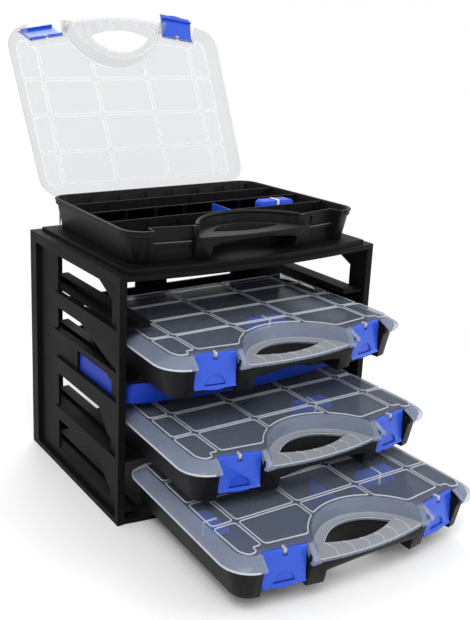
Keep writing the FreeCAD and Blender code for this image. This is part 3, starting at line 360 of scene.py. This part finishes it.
FINISHES = {
    "rack_black": PlasticFinish("rack_black", (0.0022, 0.0022, 0.0026, 1), (0.0042, 0.0042, 0.005, 1),
                                0.5, 0.64, grain_height=0.3, specular=0.09),
    "tray_black": PlasticFinish("tray_black", (0.0035, 0.0035, 0.0042, 1), (0.0065, 0.0065, 0.0075, 1),
                                0.4, 0.52, grain_height=0.2, specular=0.13),
    "lid_clear": PlasticFinish("lid_clear", (0.27, 0.32, 0.44, 1), (0.32, 0.37, 0.5, 1), 0.1, 0.18,
                               grain_height=0.0, alpha=0.18, slope_alpha=0.4, wall_alpha=0.4),
    "lid_open": PlasticFinish("lid_open", (0.35, 0.36, 0.39, 1), (0.39, 0.4, 0.43, 1), 0.34, 0.46,
                              grain_height=0.0, alpha=0.19, slope_alpha=0.22, wall_alpha=0.22,
                              upward=OPEN_UP, specular=0.3),
    "grip_frost": PlasticFinish("grip_frost", (0.42, 0.44, 0.47, 1), (0.5, 0.52, 0.55, 1), 0.3, 0.42,
                                grain_height=0.1, alpha=0.42, slope_alpha=0.42, wall_alpha=0.5),
    # Pale, denser clear for the closed lids' beads, ribs and tabs: the ridges are real, their pale colour
    # is a painted highlight.
    "lid_bead_painted_highlight": PlasticFinish("lid_bead_painted_highlight", (0.7, 0.73, 0.8, 1), (0.78, 0.81, 0.87, 1), 0.18, 0.28,
                              grain_height=0.0, alpha=0.5, slope_alpha=0.5, wall_alpha=0.5),
    # Near-white clear with a white glow for the open lid's beads, ribs and tabs: a painted highlight and
    # painted glow.
    "open_bead_painted_light": PlasticFinish("open_bead_painted_light", (0.95, 0.95, 0.96, 1), (1.0, 1.0, 1.0, 1), 0.2, 0.3,
                               grain_height=0.0, alpha=0.45, slope_alpha=0.45, wall_alpha=0.45, painted_glow=0.2),
    # Frosted clear for the open lid's grip: the frosting is real, its white glow is painted light.
    "open_frost_painted_light": PlasticFinish("open_frost_painted_light", (0.66, 0.67, 0.7, 1), (0.72, 0.73, 0.76, 1), 0.34, 0.46,
                                grain_height=0.1, alpha=0.26, slope_alpha=0.26, wall_alpha=0.3, painted_glow=0.15),
    # Lighter, glossier black for the catch bars' edges: the gloss is real, the lighter colour is a painted
    # highlight.
    "catch_painted_highlight": PlasticFinish("catch_painted_highlight", (0.05, 0.05, 0.052, 1), (0.08, 0.08, 0.083, 1), 0.28, 0.4,
                                grain_height=0.1, specular=0.5),
    "latch_blue": PlasticFinish("latch_blue", (0.012, 0.062, 0.5, 1), (0.018, 0.085, 0.6, 1), 0.26, 0.38,
                                grain_height=0.05, specular=0.4),
    "divider_blue": PlasticFinish("divider_blue", (0.011, 0.06, 0.55, 1), (0.018, 0.09, 0.7, 1),
                                  0.24, 0.36, grain_height=0.05, specular=0.4),
    "shelf_blue": PlasticFinish("shelf_blue", (0.004, 0.03, 0.34, 1), (0.007, 0.042, 0.42, 1), 0.4, 0.52,
                                grain_height=0.1, specular=0.18),
    "band_white": PlasticFinish("band_white", (0.78, 0.78, 0.78, 1), (0.88, 0.88, 0.87, 1), 0.45, 0.6,
                                grain_height=0.3),
}


# The compartment case

@dataclass(frozen=True)
class Bead:
    """A bead or rolled edge: its offset from the line it follows, its height and its radius."""

    offset: float
    level: float
    radius: float


@dataclass
class CompartmentCase:
    """One case: its place, its bodies in the frame, and the fine mouldings of its lid and base.

    Lengths are millimetres in the case's own frame: x to the right, y from the front back, z up.
    """

    name: str
    origin: Place
    lid_opened: float = 0.0
    finishes: dict[str, bpy.types.Material] = field(default_factory=dict)
    hinge: Point = (256.5, 36.0)
    groove_pitch: float = 46.0
    row_lines: tuple[float, ...] = (66.0, 124.0, 182.0, 234.0)
    panel_split: float = 134.0
    panel_edge: float = 167.0
    panel_joint: float = 4.5
    panel_corner: float = 5.0
    latch_notch: Point = (14.0, 14.0)
    taper: float = 9.0 / 268.0
    rim_half: float = 180.0
    rim_front: float = -22.0
    rim_rear: float = 246.0
    bow_radius: float = 880.0
    gap_half: float = 147.0
    gap_rear: float = 6.0
    arch_middle: float = -39.0
    crown_radius: float = 88.6
    crown_end: float = 76.0
    grip_middle: float = -26.0
    grip_bow: float = 8.0
    grip_half: float = 78.2
    opening_half: float = 52.0
    opening_side: float = 6.0
    opening_near: float = -6.5
    opening_far: float = 32.0
    deck_level: float = 34.0
    rib_count: int = 6
    rib_pitch: float = 21.8
    panel_bead: Bead = Bead(0.0, 53.5, 0.95)
    lid_rim: Bead = Bead(6.6, 41.0, 1.3)
    base_rim: Bead = Bead(0.5, 41.6, 1.5)
    arch_roll: Bead = Bead(0.0, 42.2, 2.8)
    grip_roll: Bead = Bead(3.4, 28.3, 2.1)
    arch_bead: Bead = Bead(-8.7, 34.5, 0.75)
    opening_bead: Bead = Bead(0.0, 34.0, 0.6)
    catch_edge: Bead = Bead(1.9, -25.7, 0.9)
    tab_size: Place = (3.0, 9.0, 5.2)
    tab_middle: Place = (0.0, 0.2, 1.6)
    tab_rounding: float = 1.2
    latch_place: float = 117.0
    latch_set: float = -4.5
    latch_turn: float = 9.6
    rod_out: float = 2.8
    rod_height: float = 49.5

    @property
    def base_body(self) -> str:
        """The body that carries the base."""
        return f"{self.name}_case"

    @property
    def lid_body(self) -> str:
        """The body that carries the lid."""
        return "top_lid" if self.name == "top" else self.base_body

    def base_place(self) -> Matrix:
        """Where the case's own frame lies, with millimetres turned to metres."""
        return Matrix.Translation(Vector(self.origin)) @ Matrix.Scale(MM, 4)

    def lid_place(self) -> Matrix:
        """Where the lid lies: as the base, turned up about the hinge on the open case."""
        axis = Vector((0.0, *self.hinge))
        turn = Matrix.Rotation(math.radians(-self.lid_opened), 4, "X")
        return self.base_place() @ Matrix.Translation(axis) @ turn @ Matrix.Translation(-axis)

    def outline(self, inset: float, steps: int = 14) -> list[Point]:
        """The case's plan, drawn in by an inset.

        Args:
            inset: How far inside the rim's line, in millimetres.
            steps: Points along each round part.

        Returns:
            The closed outline, counter-clockwise from the middle of the front.
        """
        radius = self.bow_radius - inset
        front, rear = self.rim_front + inset, self.rim_rear - inset
        centre_y = front + radius

        def side(y: float) -> float:
            """Half width at y."""
            return self.rim_half - self.taper * (y - self.rim_front) - inset

        half = side(front)
        bowed = [(half * step / steps, 0.0) for step in range(steps)]
        bowed = [(x, centre_y - math.sqrt(radius ** 2 - x ** 2)) for x, _ in bowed]
        corner = (half, centre_y - math.sqrt(radius ** 2 - half ** 2))
        right = bowed + [corner, (side(rear), rear)]
        whole = right + [(-x, y) for x, y in reversed(right[1:])]
        return self.round_corners(whole, 30.0 - inset, 24.0 - inset, steps)

    @staticmethod
    def round_corners(points: Sequence[Point], front: float, rear: float, steps: int) -> list[Point]:
        """Round the four sharp corners of a plan and leave its bowed front as it is.

        Args:
            points: The plan.
            front: Rounding of the front corners.
            rear: Rounding of the rear corners.
            steps: Points in each corner.

        Returns:
            The rounded plan.
        """
        sharp, smallest = math.radians(20.0), 3.0
        near_side, near_front, middle_row = 165.0, 30.0, 100.0
        result: list[Point] = []
        count = len(points)
        for index, corner in enumerate(points):
            here = Vector(corner)
            before = (Vector(points[index - 1]) - here).normalized()
            after = (Vector(points[(index + 1) % count]) - here).normalized()
            bend = before.angle(-after)
            if bend < sharp:
                if all((here - Vector(spot)).length > front for spot in points
                       if abs(spot[0]) > near_side and spot is not corner and spot[1] < near_front):
                    result.append(corner)
                continue
            radius = max(front if corner[1] < middle_row else rear, smallest)
            reach = radius * math.tan(bend / 2)
            start, end = here + before * reach, here + after * reach
            middle = here + (before + after).normalized() * (radius / math.cos(bend / 2))
            first, last = start - middle, end - middle
            for step in range(steps + 1):
                share = step / steps
                spot = middle + first.slerp(last, share).normalized() * radius
                result.append((spot.x, spot.y))
        return result

    def panel_outlines(self) -> list[list[Point]]:
        """Plans of the raised panels of the lid, one above each compartment."""
        joint = self.panel_joint / 2
        columns = (0.0, self.groove_pitch, self.panel_split, self.panel_edge)
        rows = self.row_lines
        panels: list[list[Point]] = []
        for low, high in zip(rows, rows[1:]):
            low, high = low + joint, high - joint
            inner = columns[1] - joint
            panels.append([(-inner, low), (inner, low), (inner, high), (-inner, high)])
            for side in (-1, 1):
                for near, far in zip(columns[1:], columns[2:]):
                    ends = (far - joint, far - joint)
                    if far == columns[3]:
                        ends = (far - self.taper * low, far - self.taper * high)
                    shape = [(near + joint, low), (ends[0], low), (ends[1], high), (near + joint, high)]
                    panels.append([(side * x, y) for x, y in shape])
        return panels + self.front_panels(columns, rows[0] - joint)

    def front_panels(self, columns: Sequence[float], rear: float) -> list[list[Point]]:
        """The five panels round the handle's arch.

        Args:
            columns: X of the lines between columns.
            rear: Rear edge of the front row.

        Returns:
            Their plans.
        """
        joint = self.panel_joint / 2
        notch, behind = columns[2] + self.latch_notch[0], self.latch_notch[1]
        outer = columns[3] - 1.0
        narrow = [(columns[2] + joint, behind - 1.0), (notch, behind), (notch, 5.0), (outer - 7.0, 3.0),
                  (outer, behind), (outer, rear), (columns[2] + joint, rear)]
        knee, inner = columns[1] + joint, columns[1] - joint
        beside = [self.on_crown(knee + (self.crown_end - knee) * step / 5) for step in range(5)]
        wide = [self.on_crown(self.crown_end), (columns[2] - joint, behind - 1.0),
                (columns[2] - joint, rear), (knee, rear)] + beside
        middle = [self.on_crown(inner * step / 6) for step in range(-6, 7)]
        middle += [(inner, rear), (-inner, rear)]
        sides = [[(side * x, y) for x, y in shape] for side in (-1, 1) for shape in (narrow, wide)]
        return sides + [middle]

    def on_crown(self, x: float) -> Point:
        """The point at x on the line that the panels share with the arch's crown."""
        return (x, self.arch_middle + math.sqrt(self.crown_radius ** 2 - x ** 2))

    def lid_beads(self) -> bpy.types.Object:
        """Fine round beads along the edges of every raised panel."""
        paths = []
        for shape in self.panel_outlines():
            paths.append([(x, y, self.panel_bead.level) for x, y in rounded(shape, self.panel_corner)])
        beads = tubes(f"{self.name}_lid_panel_beads", paths, self.panel_bead.radius)
        settle(beads, self.lid_place())
        return beads

    def open_rim(self, bead: Bead) -> list[Place]:
        """The line of a bead on the rim, from one side of the handle round the back to the other.

        Args:
            bead: The bead, set out from the rim's line by its offset.

        Returns:
            The points in order.
        """
        path = [(x, y, bead.level) for x, y in self.outline(-bead.offset) if not self.in_front_gap(x, y)]
        start = max(range(len(path)), key=lambda index: math.dist(path[index], path[index - 1]))
        return path[start:] + path[:start]

    def rim_bead(self) -> bpy.types.Object:
        """The thickened edge round the lid."""
        bead = tubes(f"{self.name}_lid_rim_bead", [self.open_rim(self.lid_rim)], self.lid_rim.radius,
                     closed=False)
        settle(bead, self.lid_place())
        return bead

    def in_front_gap(self, x: float, y: float) -> bool:
        """Whether a point lies where the lid's rim is cut away for the latches and the handle."""
        return y < self.gap_rear and abs(x) < self.gap_half

    def arch_line(self, offset: float, level: float, first: float = 15.5, steps: int = 36) -> list[Place]:
        """A line round the handle's arch.

        Args:
            offset: How far outside the arch's crown it runs.
            level: Its height.
            first: Angle at which it starts, and at which it stops short of half a turn.
            steps: Straight pieces along it.

        Returns:
            The points, from the right round to the left.
        """
        radius = self.crown_radius + offset
        turns = [math.radians(first + (180.0 - 2 * first) * step / steps) for step in range(steps + 1)]
        return [(radius * math.cos(turn), self.arch_middle + radius * math.sin(turn), level)
                for turn in turns]

    def grip_front(self, x: float) -> float:
        """Y of the grip's bowed front edge at x."""
        return self.grip_middle + self.grip_bow * (x / self.grip_half) ** 2

    def opening_front(self, x: float) -> float:
        """Y of the finger opening's near edge at x."""
        deep = self.opening_side - self.opening_near
        return self.opening_near + deep * min(abs(x) / self.opening_half, 1.0) ** 2

    def opening_back(self, x: float, spare: float = 0.0) -> float:
        """Y of the finger opening's far edge at x, with the opening grown by some spare room."""
        deep = self.opening_far - self.opening_side + spare / 2
        return self.opening_side + spare + deep * (1.0 - (x / (self.opening_half + spare)) ** 2)

    def opening_edge(self, level: float, count: int = 20) -> list[Place]:
        """The lens-shaped edge of the finger opening.

        Args:
            level: Its height.
            count: Steps across it.

        Returns:
            The points, along the near edge and back along the far one.
        """
        across = [self.opening_half * (2 * step / count - 1) for step in range(count + 1)]
        near = [(x, self.opening_front(x), level) for x in across]
        return near + [(x, self.opening_back(x), level) for x in reversed(across[1:-1])]

    def handle_roll(self) -> bpy.types.Object:
        """Rolled edges of the base's handle: round the arch and along the grip's front."""
        grip = [(x, self.grip_front(x) + self.grip_roll.offset, self.grip_roll.level)
                for x in range(-84, 85, 7)]
        crown = self.arch_line(self.arch_roll.offset, self.arch_roll.level, 25.0)
        rolls = (("handle_arch", crown, self.arch_roll), ("handle_roll", grip, self.grip_roll),
                 ("rim_roll", self.open_rim(self.base_rim), self.base_rim))
        arch, roll, rim = [tubes(f"{self.name}_base_{part}", [line], bead.radius, closed=False, sides=4)
                           for part, line, bead in rolls]
        select_only(arch, rim, roll)
        bpy.ops.object.join()
        settle(roll, self.base_place())
        return roll

    def catch_edges(self) -> bpy.types.Object:
        """The rounded front edges of the two bars that the latches catch on, in a lighter black that is a
        painted highlight along their tops.
        """
        edge = self.catch_edge
        paths = []
        for hand in Hand:
            rod = self.rod_place(hand)
            paths.append([tuple(rod @ Vector((x, edge.offset, edge.level))) for x in range(-26, 27, 4)])
        edges = tubes(f"{self.name}_base_catch_edges", paths, edge.radius, closed=False, sides=4)
        settle(edges, self.base_place())
        return edges

    def grip_arcs(self) -> bpy.types.Object:
        """Light lines of the lid's grip: its ribs, and the edges of deck, arch and opening."""
        paths = []
        for number in range(self.rib_count):
            paths.append(self.rib_line(self.rib_pitch * (number - (self.rib_count - 1) / 2)))
        paths.append([(x, self.grip_front(x) + 0.8, self.deck_level + 0.1) for x in range(-76, 77, 4)])
        paths.append(self.arch_line(self.arch_bead.offset, self.arch_bead.level))
        ribs = tubes(f"{self.name}_lid_grip_ribs", paths, self.arch_bead.radius, closed=False)
        edge = tubes(f"{self.name}_lid_opening_edge", [self.opening_edge(self.opening_bead.level)],
                     self.opening_bead.radius)
        select_only(edge, ribs)
        bpy.ops.object.join()
        settle(ribs, self.lid_place())
        return ribs

    def rib_line(self, x: float, steps: int = 8) -> list[Place]:
        """One curved rib of the grip.

        Args:
            x: Where it starts at the front.
            steps: Straight pieces along it.

        Returns:
            The points from the grip's front edge back to the finger opening.
        """
        front, back = self.grip_front(x) + 1.2, self.opening_front(x) - 0.8
        line = []
        for step in range(steps + 1):
            share = step / steps
            across = x + 1.2 * share + 4.2 * math.sin(share * math.pi)
            line.append((across, front + (back - front) * share, self.deck_level + 1.2))
        return line

    def sheet_edges(self, level: float, count: int = 24, spare: float = 0.4) -> list[list[Place]]:
        """The outer and the inner edge of the grip's frosted top, with as many points each.

        Args:
            level: Their height.
            count: Steps along the front.
            spare: Room left round the finger opening.

        Returns:
            Both closed edges, from the front's left end to the right and back round the arch.
        """
        across = [2 * step / count - 1 for step in range(count + 1)]
        reach, half = 76.5, self.opening_half + spare
        outer = [(reach * share, self.grip_front(reach * share) + 0.5, level) for share in across]
        inner = [(half * share, self.opening_front(half * share) - 0.6, level) for share in across]
        outer += self.arch_line(self.arch_bead.offset - 0.2, level)[1:-1]
        behind = len(outer) - len(inner)
        for step in range(1, behind + 1):
            x = half * math.cos(math.pi * step / (behind + 1))
            inner.append((x, self.opening_back(x, spare), level))
        return [outer, inner]

    def grip_sheet(self) -> bpy.types.Object:
        """The frosted top of the lid's grip, from its front edge and the arch in to the finger opening."""
        sheet = tubes(f"{self.name}_lid_grip_sheet", self.sheet_edges(self.deck_level + 0.95), 0.0)
        bpy.ops.object.mode_set(mode="EDIT")
        bpy.ops.mesh.select_all(action="SELECT")
        bpy.ops.mesh.bridge_edge_loops()
        bpy.ops.object.mode_set(mode="OBJECT")
        if sheet.data.polygons[0].normal.z < 0.0:
            bpy.ops.object.mode_set(mode="EDIT")
            bpy.ops.mesh.flip_normals()
            bpy.ops.object.mode_set(mode="OBJECT")
        thickness = sheet.modifiers.new("thickness", "SOLIDIFY")
        thickness.thickness, thickness.offset = 0.3, 1.0
        apply_modifiers(sheet)
        settle(sheet, self.lid_place())
        smooth(sheet, 30.0)
        return sheet

    def hook_tabs(self) -> bpy.types.Object:
        """The two clear tabs that reach through the notches of the latches."""
        tabs = []
        for hand in Hand:
            select_only()
            bpy.ops.mesh.primitive_cube_add(size=1.0, location=self.tab_middle)
            tab = bpy.context.object
            tab.name = f"{self.name}_tab_{hand.name.lower()}"
            tab.scale = self.tab_size
            settle(tab)
            rounding = tab.modifiers.new("rounding", "BEVEL")
            rounding.width, rounding.segments = self.tab_rounding, 3
            apply_modifiers(tab)
            settle(tab, self.lid_place() @ self.rod_place(hand))
            tabs.append(tab)
        select_only(*tabs)
        bpy.ops.object.join()
        joined = bpy.context.object
        joined.name = f"{self.name}_lid_hook_tabs"
        smooth(joined)
        return joined

    def rod_place(self, hand: Hand) -> Matrix:
        """Where a latch's rod lies in the case's own frame."""
        turn = math.radians(self.latch_turn)
        across = self.latch_place - self.rod_out * math.sin(turn)
        back = self.latch_set + self.rod_out * math.cos(turn)
        spot = Vector((hand.value * across, back, self.rod_height))
        return Matrix.Translation(spot) @ Matrix.Rotation(hand.value * turn, 4, "Z")

    def dress(self) -> None:
        """Finish the case and add its mouldings."""
        # The lid's beads, ribs and tabs take a pale finish, a painted highlight; on the open lid that
        # finish and the grip sheet's also glow, which is painted light.
        bead = "open_bead_painted_light" if self.lid_opened else "lid_bead_painted_highlight"
        if self.lid_opened:
            paint(frame["nodes"]["top_case_lid"], self.finishes["lid_open"])
        sheet = self.grip_sheet()
        frost = "open_frost_painted_light" if self.lid_opened else "grip_frost"
        for piece in (self.lid_beads(), self.rim_bead(), self.grip_arcs(), self.hook_tabs(), sheet):
            paint(piece, self.finishes[frost if piece is sheet else bead])
            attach(piece, self.lid_body)
        # The catch bars' edges take a lighter black, a painted highlight along their tops.
        for piece, finish in ((self.handle_roll(), "tray_black"), (self.catch_edges(), "catch_painted_highlight")):
            paint(piece, self.finishes[finish])
            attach(piece, self.base_body)
        soften(frame["nodes"][f"{self.name}_case_base"], 0.00035, clamp=False)
        soften(frame["nodes"][f"{self.name}_case_lid"], 0.0003)
        for hand in Hand:
            soften(frame["nodes"][f"{self.name}_case_latch_{hand.name.lower()}"], 0.0006, segments=3)
        LOG.info("%s case dressed", self.name)


@dataclass
class DividerBundle:
    """Spare dividers side by side with a band round them."""

    node: str
    body: str
    place: Place
    turned: bool
    finishes: dict[str, bpy.types.Material]
    count: int = 9
    pitch: float = 2.1
    plate: Place = (55.6, 1.4, 39.5)
    corner: float = 6.5
    edge: float = 0.35
    band_half: float = 0.4
    band_stretch: float = 5.0

    def one_plate(self) -> bpy.types.Object:
        """A thin plate with round corners, standing on its long edge."""
        select_only()
        bpy.ops.mesh.primitive_cube_add(size=1.0, location=(0.0, 0.0, self.plate[2] / 2))
        plate = bpy.context.object
        plate.scale = self.plate
        settle(plate)
        bpy.ops.object.mode_set(mode="EDIT")
        bpy.ops.mesh.select_mode(type="EDGE")
        bpy.ops.mesh.select_all(action="DESELECT")
        bpy.ops.object.mode_set(mode="OBJECT")
        for edge in plate.data.edges:
            ends = [plate.data.vertices[index].co for index in edge.vertices]
            edge.select = abs(ends[0].y - ends[1].y) > self.plate[1] * 0.9
        bpy.ops.object.mode_set(mode="EDIT")
        bpy.ops.mesh.bevel(offset=self.corner, segments=8)
        bpy.ops.object.mode_set(mode="OBJECT")
        rounding = plate.modifiers.new("rounding", "BEVEL")
        rounding.width, rounding.segments = self.edge, 2
        rounding.limit_method = "ANGLE"
        rounding.angle_limit = math.radians(50.0)
        apply_modifiers(plate)
        return plate

    def build(self) -> None:
        """Stack the plates and lay the band round them."""
        turn = Matrix.Rotation(math.radians(90.0 if self.turned else 0.0), 4, "Z")
        here = Matrix.Translation(Vector(self.place)) @ turn @ Matrix.Scale(MM, 4)
        first = self.one_plate()
        plates = [first]
        for number in range(1, self.count):
            plates.append(own_copy(first, f"{self.node}_{number}"))
        for number, plate in enumerate(plates):
            lean = 0.25 * math.sin(number * 2.4)
            shift = (number - (self.count - 1) / 2) * self.pitch
            settle(plate, Matrix.Translation((lean, shift, 0.0)))
        select_only(*plates)
        bpy.ops.object.join()
        stack = bpy.context.object
        stack.name = f"{self.node}_plates"
        settle(stack, here)
        smooth(stack, 40.0)
        band = self.band()
        settle(band, here)
        for piece, node, slot in ((stack, self.node, "divider_blue"),
                                  (band, f"{self.node}_band", "band_white")):
            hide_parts(node)
            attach(piece, self.body)
            paint(piece, self.finishes[slot])

    def band(self) -> bpy.types.Object:
        """The band: a flat loop with round corners."""
        half, top = self.band_half, self.plate[2] + self.band_half
        deep = (self.count - 1) * self.pitch / 2 + self.plate[1] / 2 + half
        loop = rounded([(-deep, -half), (deep, -half), (deep, top), (-deep, top)], 4 * half)
        band = tubes(f"{self.node}_band_loop", [[(0.0, y, z) for y, z in loop]], half)
        band.scale = (self.band_stretch, 1.0, 1.0)
        settle(band)
        return band


@dataclass
class Rack:
    """The rack's own solids, with their edges rounded."""

    finishes: dict[str, bpy.types.Material]
    edge: float = 0.0009
    nodes: tuple[str, ...] = ("rack_side_left", "rack_side_right", "rack_top_deck", "rack_bottom_deck",
                              "rack_rear_frame", "rack_mid_shelf")

    def dress(self) -> None:
        """Round the edges of each panel."""
        for name in self.nodes:
            soften(frame["nodes"][name], self.edge)
            LOG.info("%s softened", name)


def soften(node: bpy.types.Object, width: float, segments: int = 2, clamp: bool = True) -> None:
    """Round a solid's edges with modifiers that leave its own mesh alone.

    Args:
        node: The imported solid.
        width: Width of the rounding, in metres.
        segments: Faces across it.
        clamp: Whether narrow faces limit the width.
    """
    weld = node.modifiers.new("weld", "WELD")
    weld.merge_threshold = 0.00001
    flat = node.modifiers.new("flat", "DECIMATE")
    flat.decimate_type = "DISSOLVE"
    flat.angle_limit = math.radians(1.0)
    bevel = node.modifiers.new("bevel", "BEVEL")
    bevel.width = width
    bevel.segments = segments
    bevel.limit_method = "ANGLE"
    bevel.angle_limit = math.radians(32.0)
    bevel.use_clamp_overlap = clamp
    bevel.harden_normals = True


# Studio

@dataclass
class Studio:
    """Floor, backdrop, lamps and the camera at the photograph's angle."""

    lens: float = 52.03
    shift: Point = (0.1065, -0.0712)
    eye: Place = (-0.674, -1.038, 0.625)
    right: Place = (0.8602, -0.50933, 0.02513)
    up: Place = (0.11396, 0.24003, 0.96405)
    fade: Point = (0.38, 0.78)
    daylight: Point = (0.62, 1.0)

    def camera(self) -> None:
        """Make the camera, with the picture's right and up as measured."""
        data = bpy.data.cameras.new("photo_camera")
        data.lens = self.lens
        data.sensor_width = 36.0
        data.shift_x, data.shift_y = self.shift
        data.clip_start, data.clip_end = 0.05, 30.0
        camera = bpy.data.objects.new("photo_camera", data)
        bpy.context.scene.collection.objects.link(camera)
        across, upward = Vector(self.right).normalized(), Vector(self.up).normalized()
        back = across.cross(upward)
        turn = Matrix((across, upward, back)).transposed().to_4x4()
        camera.matrix_world = Matrix.Translation(Vector(self.eye)) @ turn
        bpy.context.scene.camera = camera

    def lamp(self, name: str, spot: Place, target: Place, size: float, power: float) -> None:
        """A soft square lamp.

        Args:
            name: Its name.
            spot: Where it hangs.
            target: What it points at.
            size: Edge length.
            power: Watts.
        """
        data = bpy.data.lights.new(name, "AREA")
        data.size = size
        data.energy = power
        lamp = bpy.data.objects.new(name, data)
        lamp.location = spot
        lamp.rotation_mode = "QUATERNION"
        lamp.rotation_quaternion = (Vector(target) - Vector(spot)).to_track_quat("-Z", "Y")
        bpy.context.scene.collection.objects.link(lamp)

    def floor(self) -> None:
        """A pale floor that keeps the object's shadow and turns plain white further out."""
        select_only()
        bpy.ops.mesh.primitive_plane_add(size=24.0, location=(0.0, 0.0, -0.0005))
        ground = bpy.context.object
        ground.name = "studio_floor"
        material = bpy.data.materials.new("studio_white")
        material.use_nodes = True
        nodes, links = material.node_tree.nodes, material.node_tree.links
        shader, out = nodes["Principled BSDF"], nodes["Material Output"]
        shader.inputs["Base Color"].default_value = (0.95, 0.95, 0.95, 1)
        shader.inputs["Roughness"].default_value = 0.9
        shader.inputs["Specular IOR Level"].default_value = 0.1
        white = nodes.new("ShaderNodeEmission")
        place = nodes.new("ShaderNodeTexCoord")
        far = nodes.new("ShaderNodeVectorMath")
        far.operation = "LENGTH"
        fade = nodes.new("ShaderNodeMapRange")
        fade.interpolation_type = "SMOOTHSTEP"
        fade.inputs["From Min"].default_value, fade.inputs["From Max"].default_value = self.fade
        rays = nodes.new("ShaderNodeLightPath")
        mask = nodes.new("ShaderNodeMath")
        mask.operation = "MULTIPLY"
        mix = nodes.new("ShaderNodeMixShader")
        links.new(place.outputs["Object"], far.inputs[0])
        links.new(far.outputs["Value"], fade.inputs["Value"])
        links.new(fade.outputs["Result"], mask.inputs[0])
        links.new(rays.outputs["Is Camera Ray"], mask.inputs[1])
        links.new(mask.outputs[0], mix.inputs["Fac"])
        links.new(shader.outputs["BSDF"], mix.inputs[1])
        links.new(white.outputs["Emission"], mix.inputs[2])
        links.new(mix.outputs["Shader"], out.inputs["Surface"])
        paint(ground, material)

    def world(self) -> None:
        """White all round for the camera, softer for lighting."""
        world = bpy.data.worlds.new("studio_world")
        bpy.context.scene.world = world
        world.use_nodes = True
        nodes, links = world.node_tree.nodes, world.node_tree.links
        surface = nodes["Background"]
        surface.inputs["Color"].default_value = (1, 1, 1, 1)
        rays = nodes.new("ShaderNodeLightPath")
        strength = nodes.new("ShaderNodeMapRange")
        strength.inputs["To Min"].default_value, strength.inputs["To Max"].default_value = self.daylight
        seen = nodes.new("ShaderNodeMath")
        seen.operation = "MAXIMUM"
        links.new(rays.outputs["Is Camera Ray"], seen.inputs[0])
        links.new(rays.outputs["Is Glossy Ray"], seen.inputs[1])
        links.new(seen.outputs[0], strength.inputs["Value"])
        links.new(strength.outputs["Result"], surface.inputs["Strength"])

    def build(self) -> None:
        """Set everything up."""
        bpy.context.scene.view_settings.view_transform = "Standard"
        self.camera()
        self.floor()
        self.world()
        self.lamp("key", (-1.2, -1.6, 2.4), (0, -0.1, 0.25), 1.6, 50.0)
        self.lamp("fill", (1.8, -1.6, 1.5), (0, -0.1, 0.2), 1.6, 20.0)
        self.lamp("rim", (0.6, 1.8, 2.2), (0, 0, 0.3), 1.4, 28.0)


def dress_nodes(finishes: dict[str, bpy.types.Material]) -> None:
    """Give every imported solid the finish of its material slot.

    Args:
        finishes: Material by slot.
    """
    slots = {entry["node"]: entry["material_slot"] for entry in frame["record"]["subparts"]}
    for name, node in frame["nodes"].items():
        paint(node, finishes[slots[name]])


def divider_bundles(cases: Sequence[CompartmentCase],
                    finishes: dict[str, bpy.types.Material]) -> list[DividerBundle]:
    """The bundles of spare dividers, one or two to a case.

    Args:
        cases: The four cases.
        finishes: Material by slot.

    Returns:
        The bundles, not built yet.
    """
    rows = {"top": [("top_case_divider_stack", 112.0, False)],
            "upper": [("upper_case_divider_stack", 30.0, False)],
            "middle": [("middle_case_divider_stack", 70.0, False)],
            "lower": [("lower_case_divider_stack", 108.0, False), ("lower_case_side_stack", -149.0, True)]}
    row_middle, tray_floor = 0.095, 0.0039
    bundles = []
    for case in cases:
        for node, x, turned in rows[case.name]:
            place = (case.origin[0] + x * MM, case.origin[1] + row_middle, case.origin[2] + tray_floor)
            body = "top_stack" if case.name == "top" else case.base_body
            bundles.append(DividerBundle(node, body, place, turned, finishes))
    return bundles


def main() -> None:
    """Build the studio, finish the solids and add the fine pieces."""
    logging.basicConfig(level=logging.INFO, format="%(name)s %(message)s")
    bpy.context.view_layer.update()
    grain, veil = moulding_grain(), wall_density()
    finishes = {name: finish.make(grain, veil) for name, finish in FINISHES.items()}
    dress_nodes(finishes)
    Rack(finishes).dress()
    cases = [
        CompartmentCase("top", (0.0, -0.117, 0.336), LID_OPEN, finishes),
        CompartmentCase("upper", (0.0, -0.219, 0.1984), 0.0, finishes),
        CompartmentCase("middle", (0.0, -0.277, 0.0934), 0.0, finishes),
        CompartmentCase("lower", (0.0, -0.368, 0.0224), 0.0, finishes),
    ]
    for case in cases:
        case.dress()
    for bundle in divider_bundles(cases, finishes):
        bundle.build()
    Studio().build()


if __name__ == "__main__":
    main()
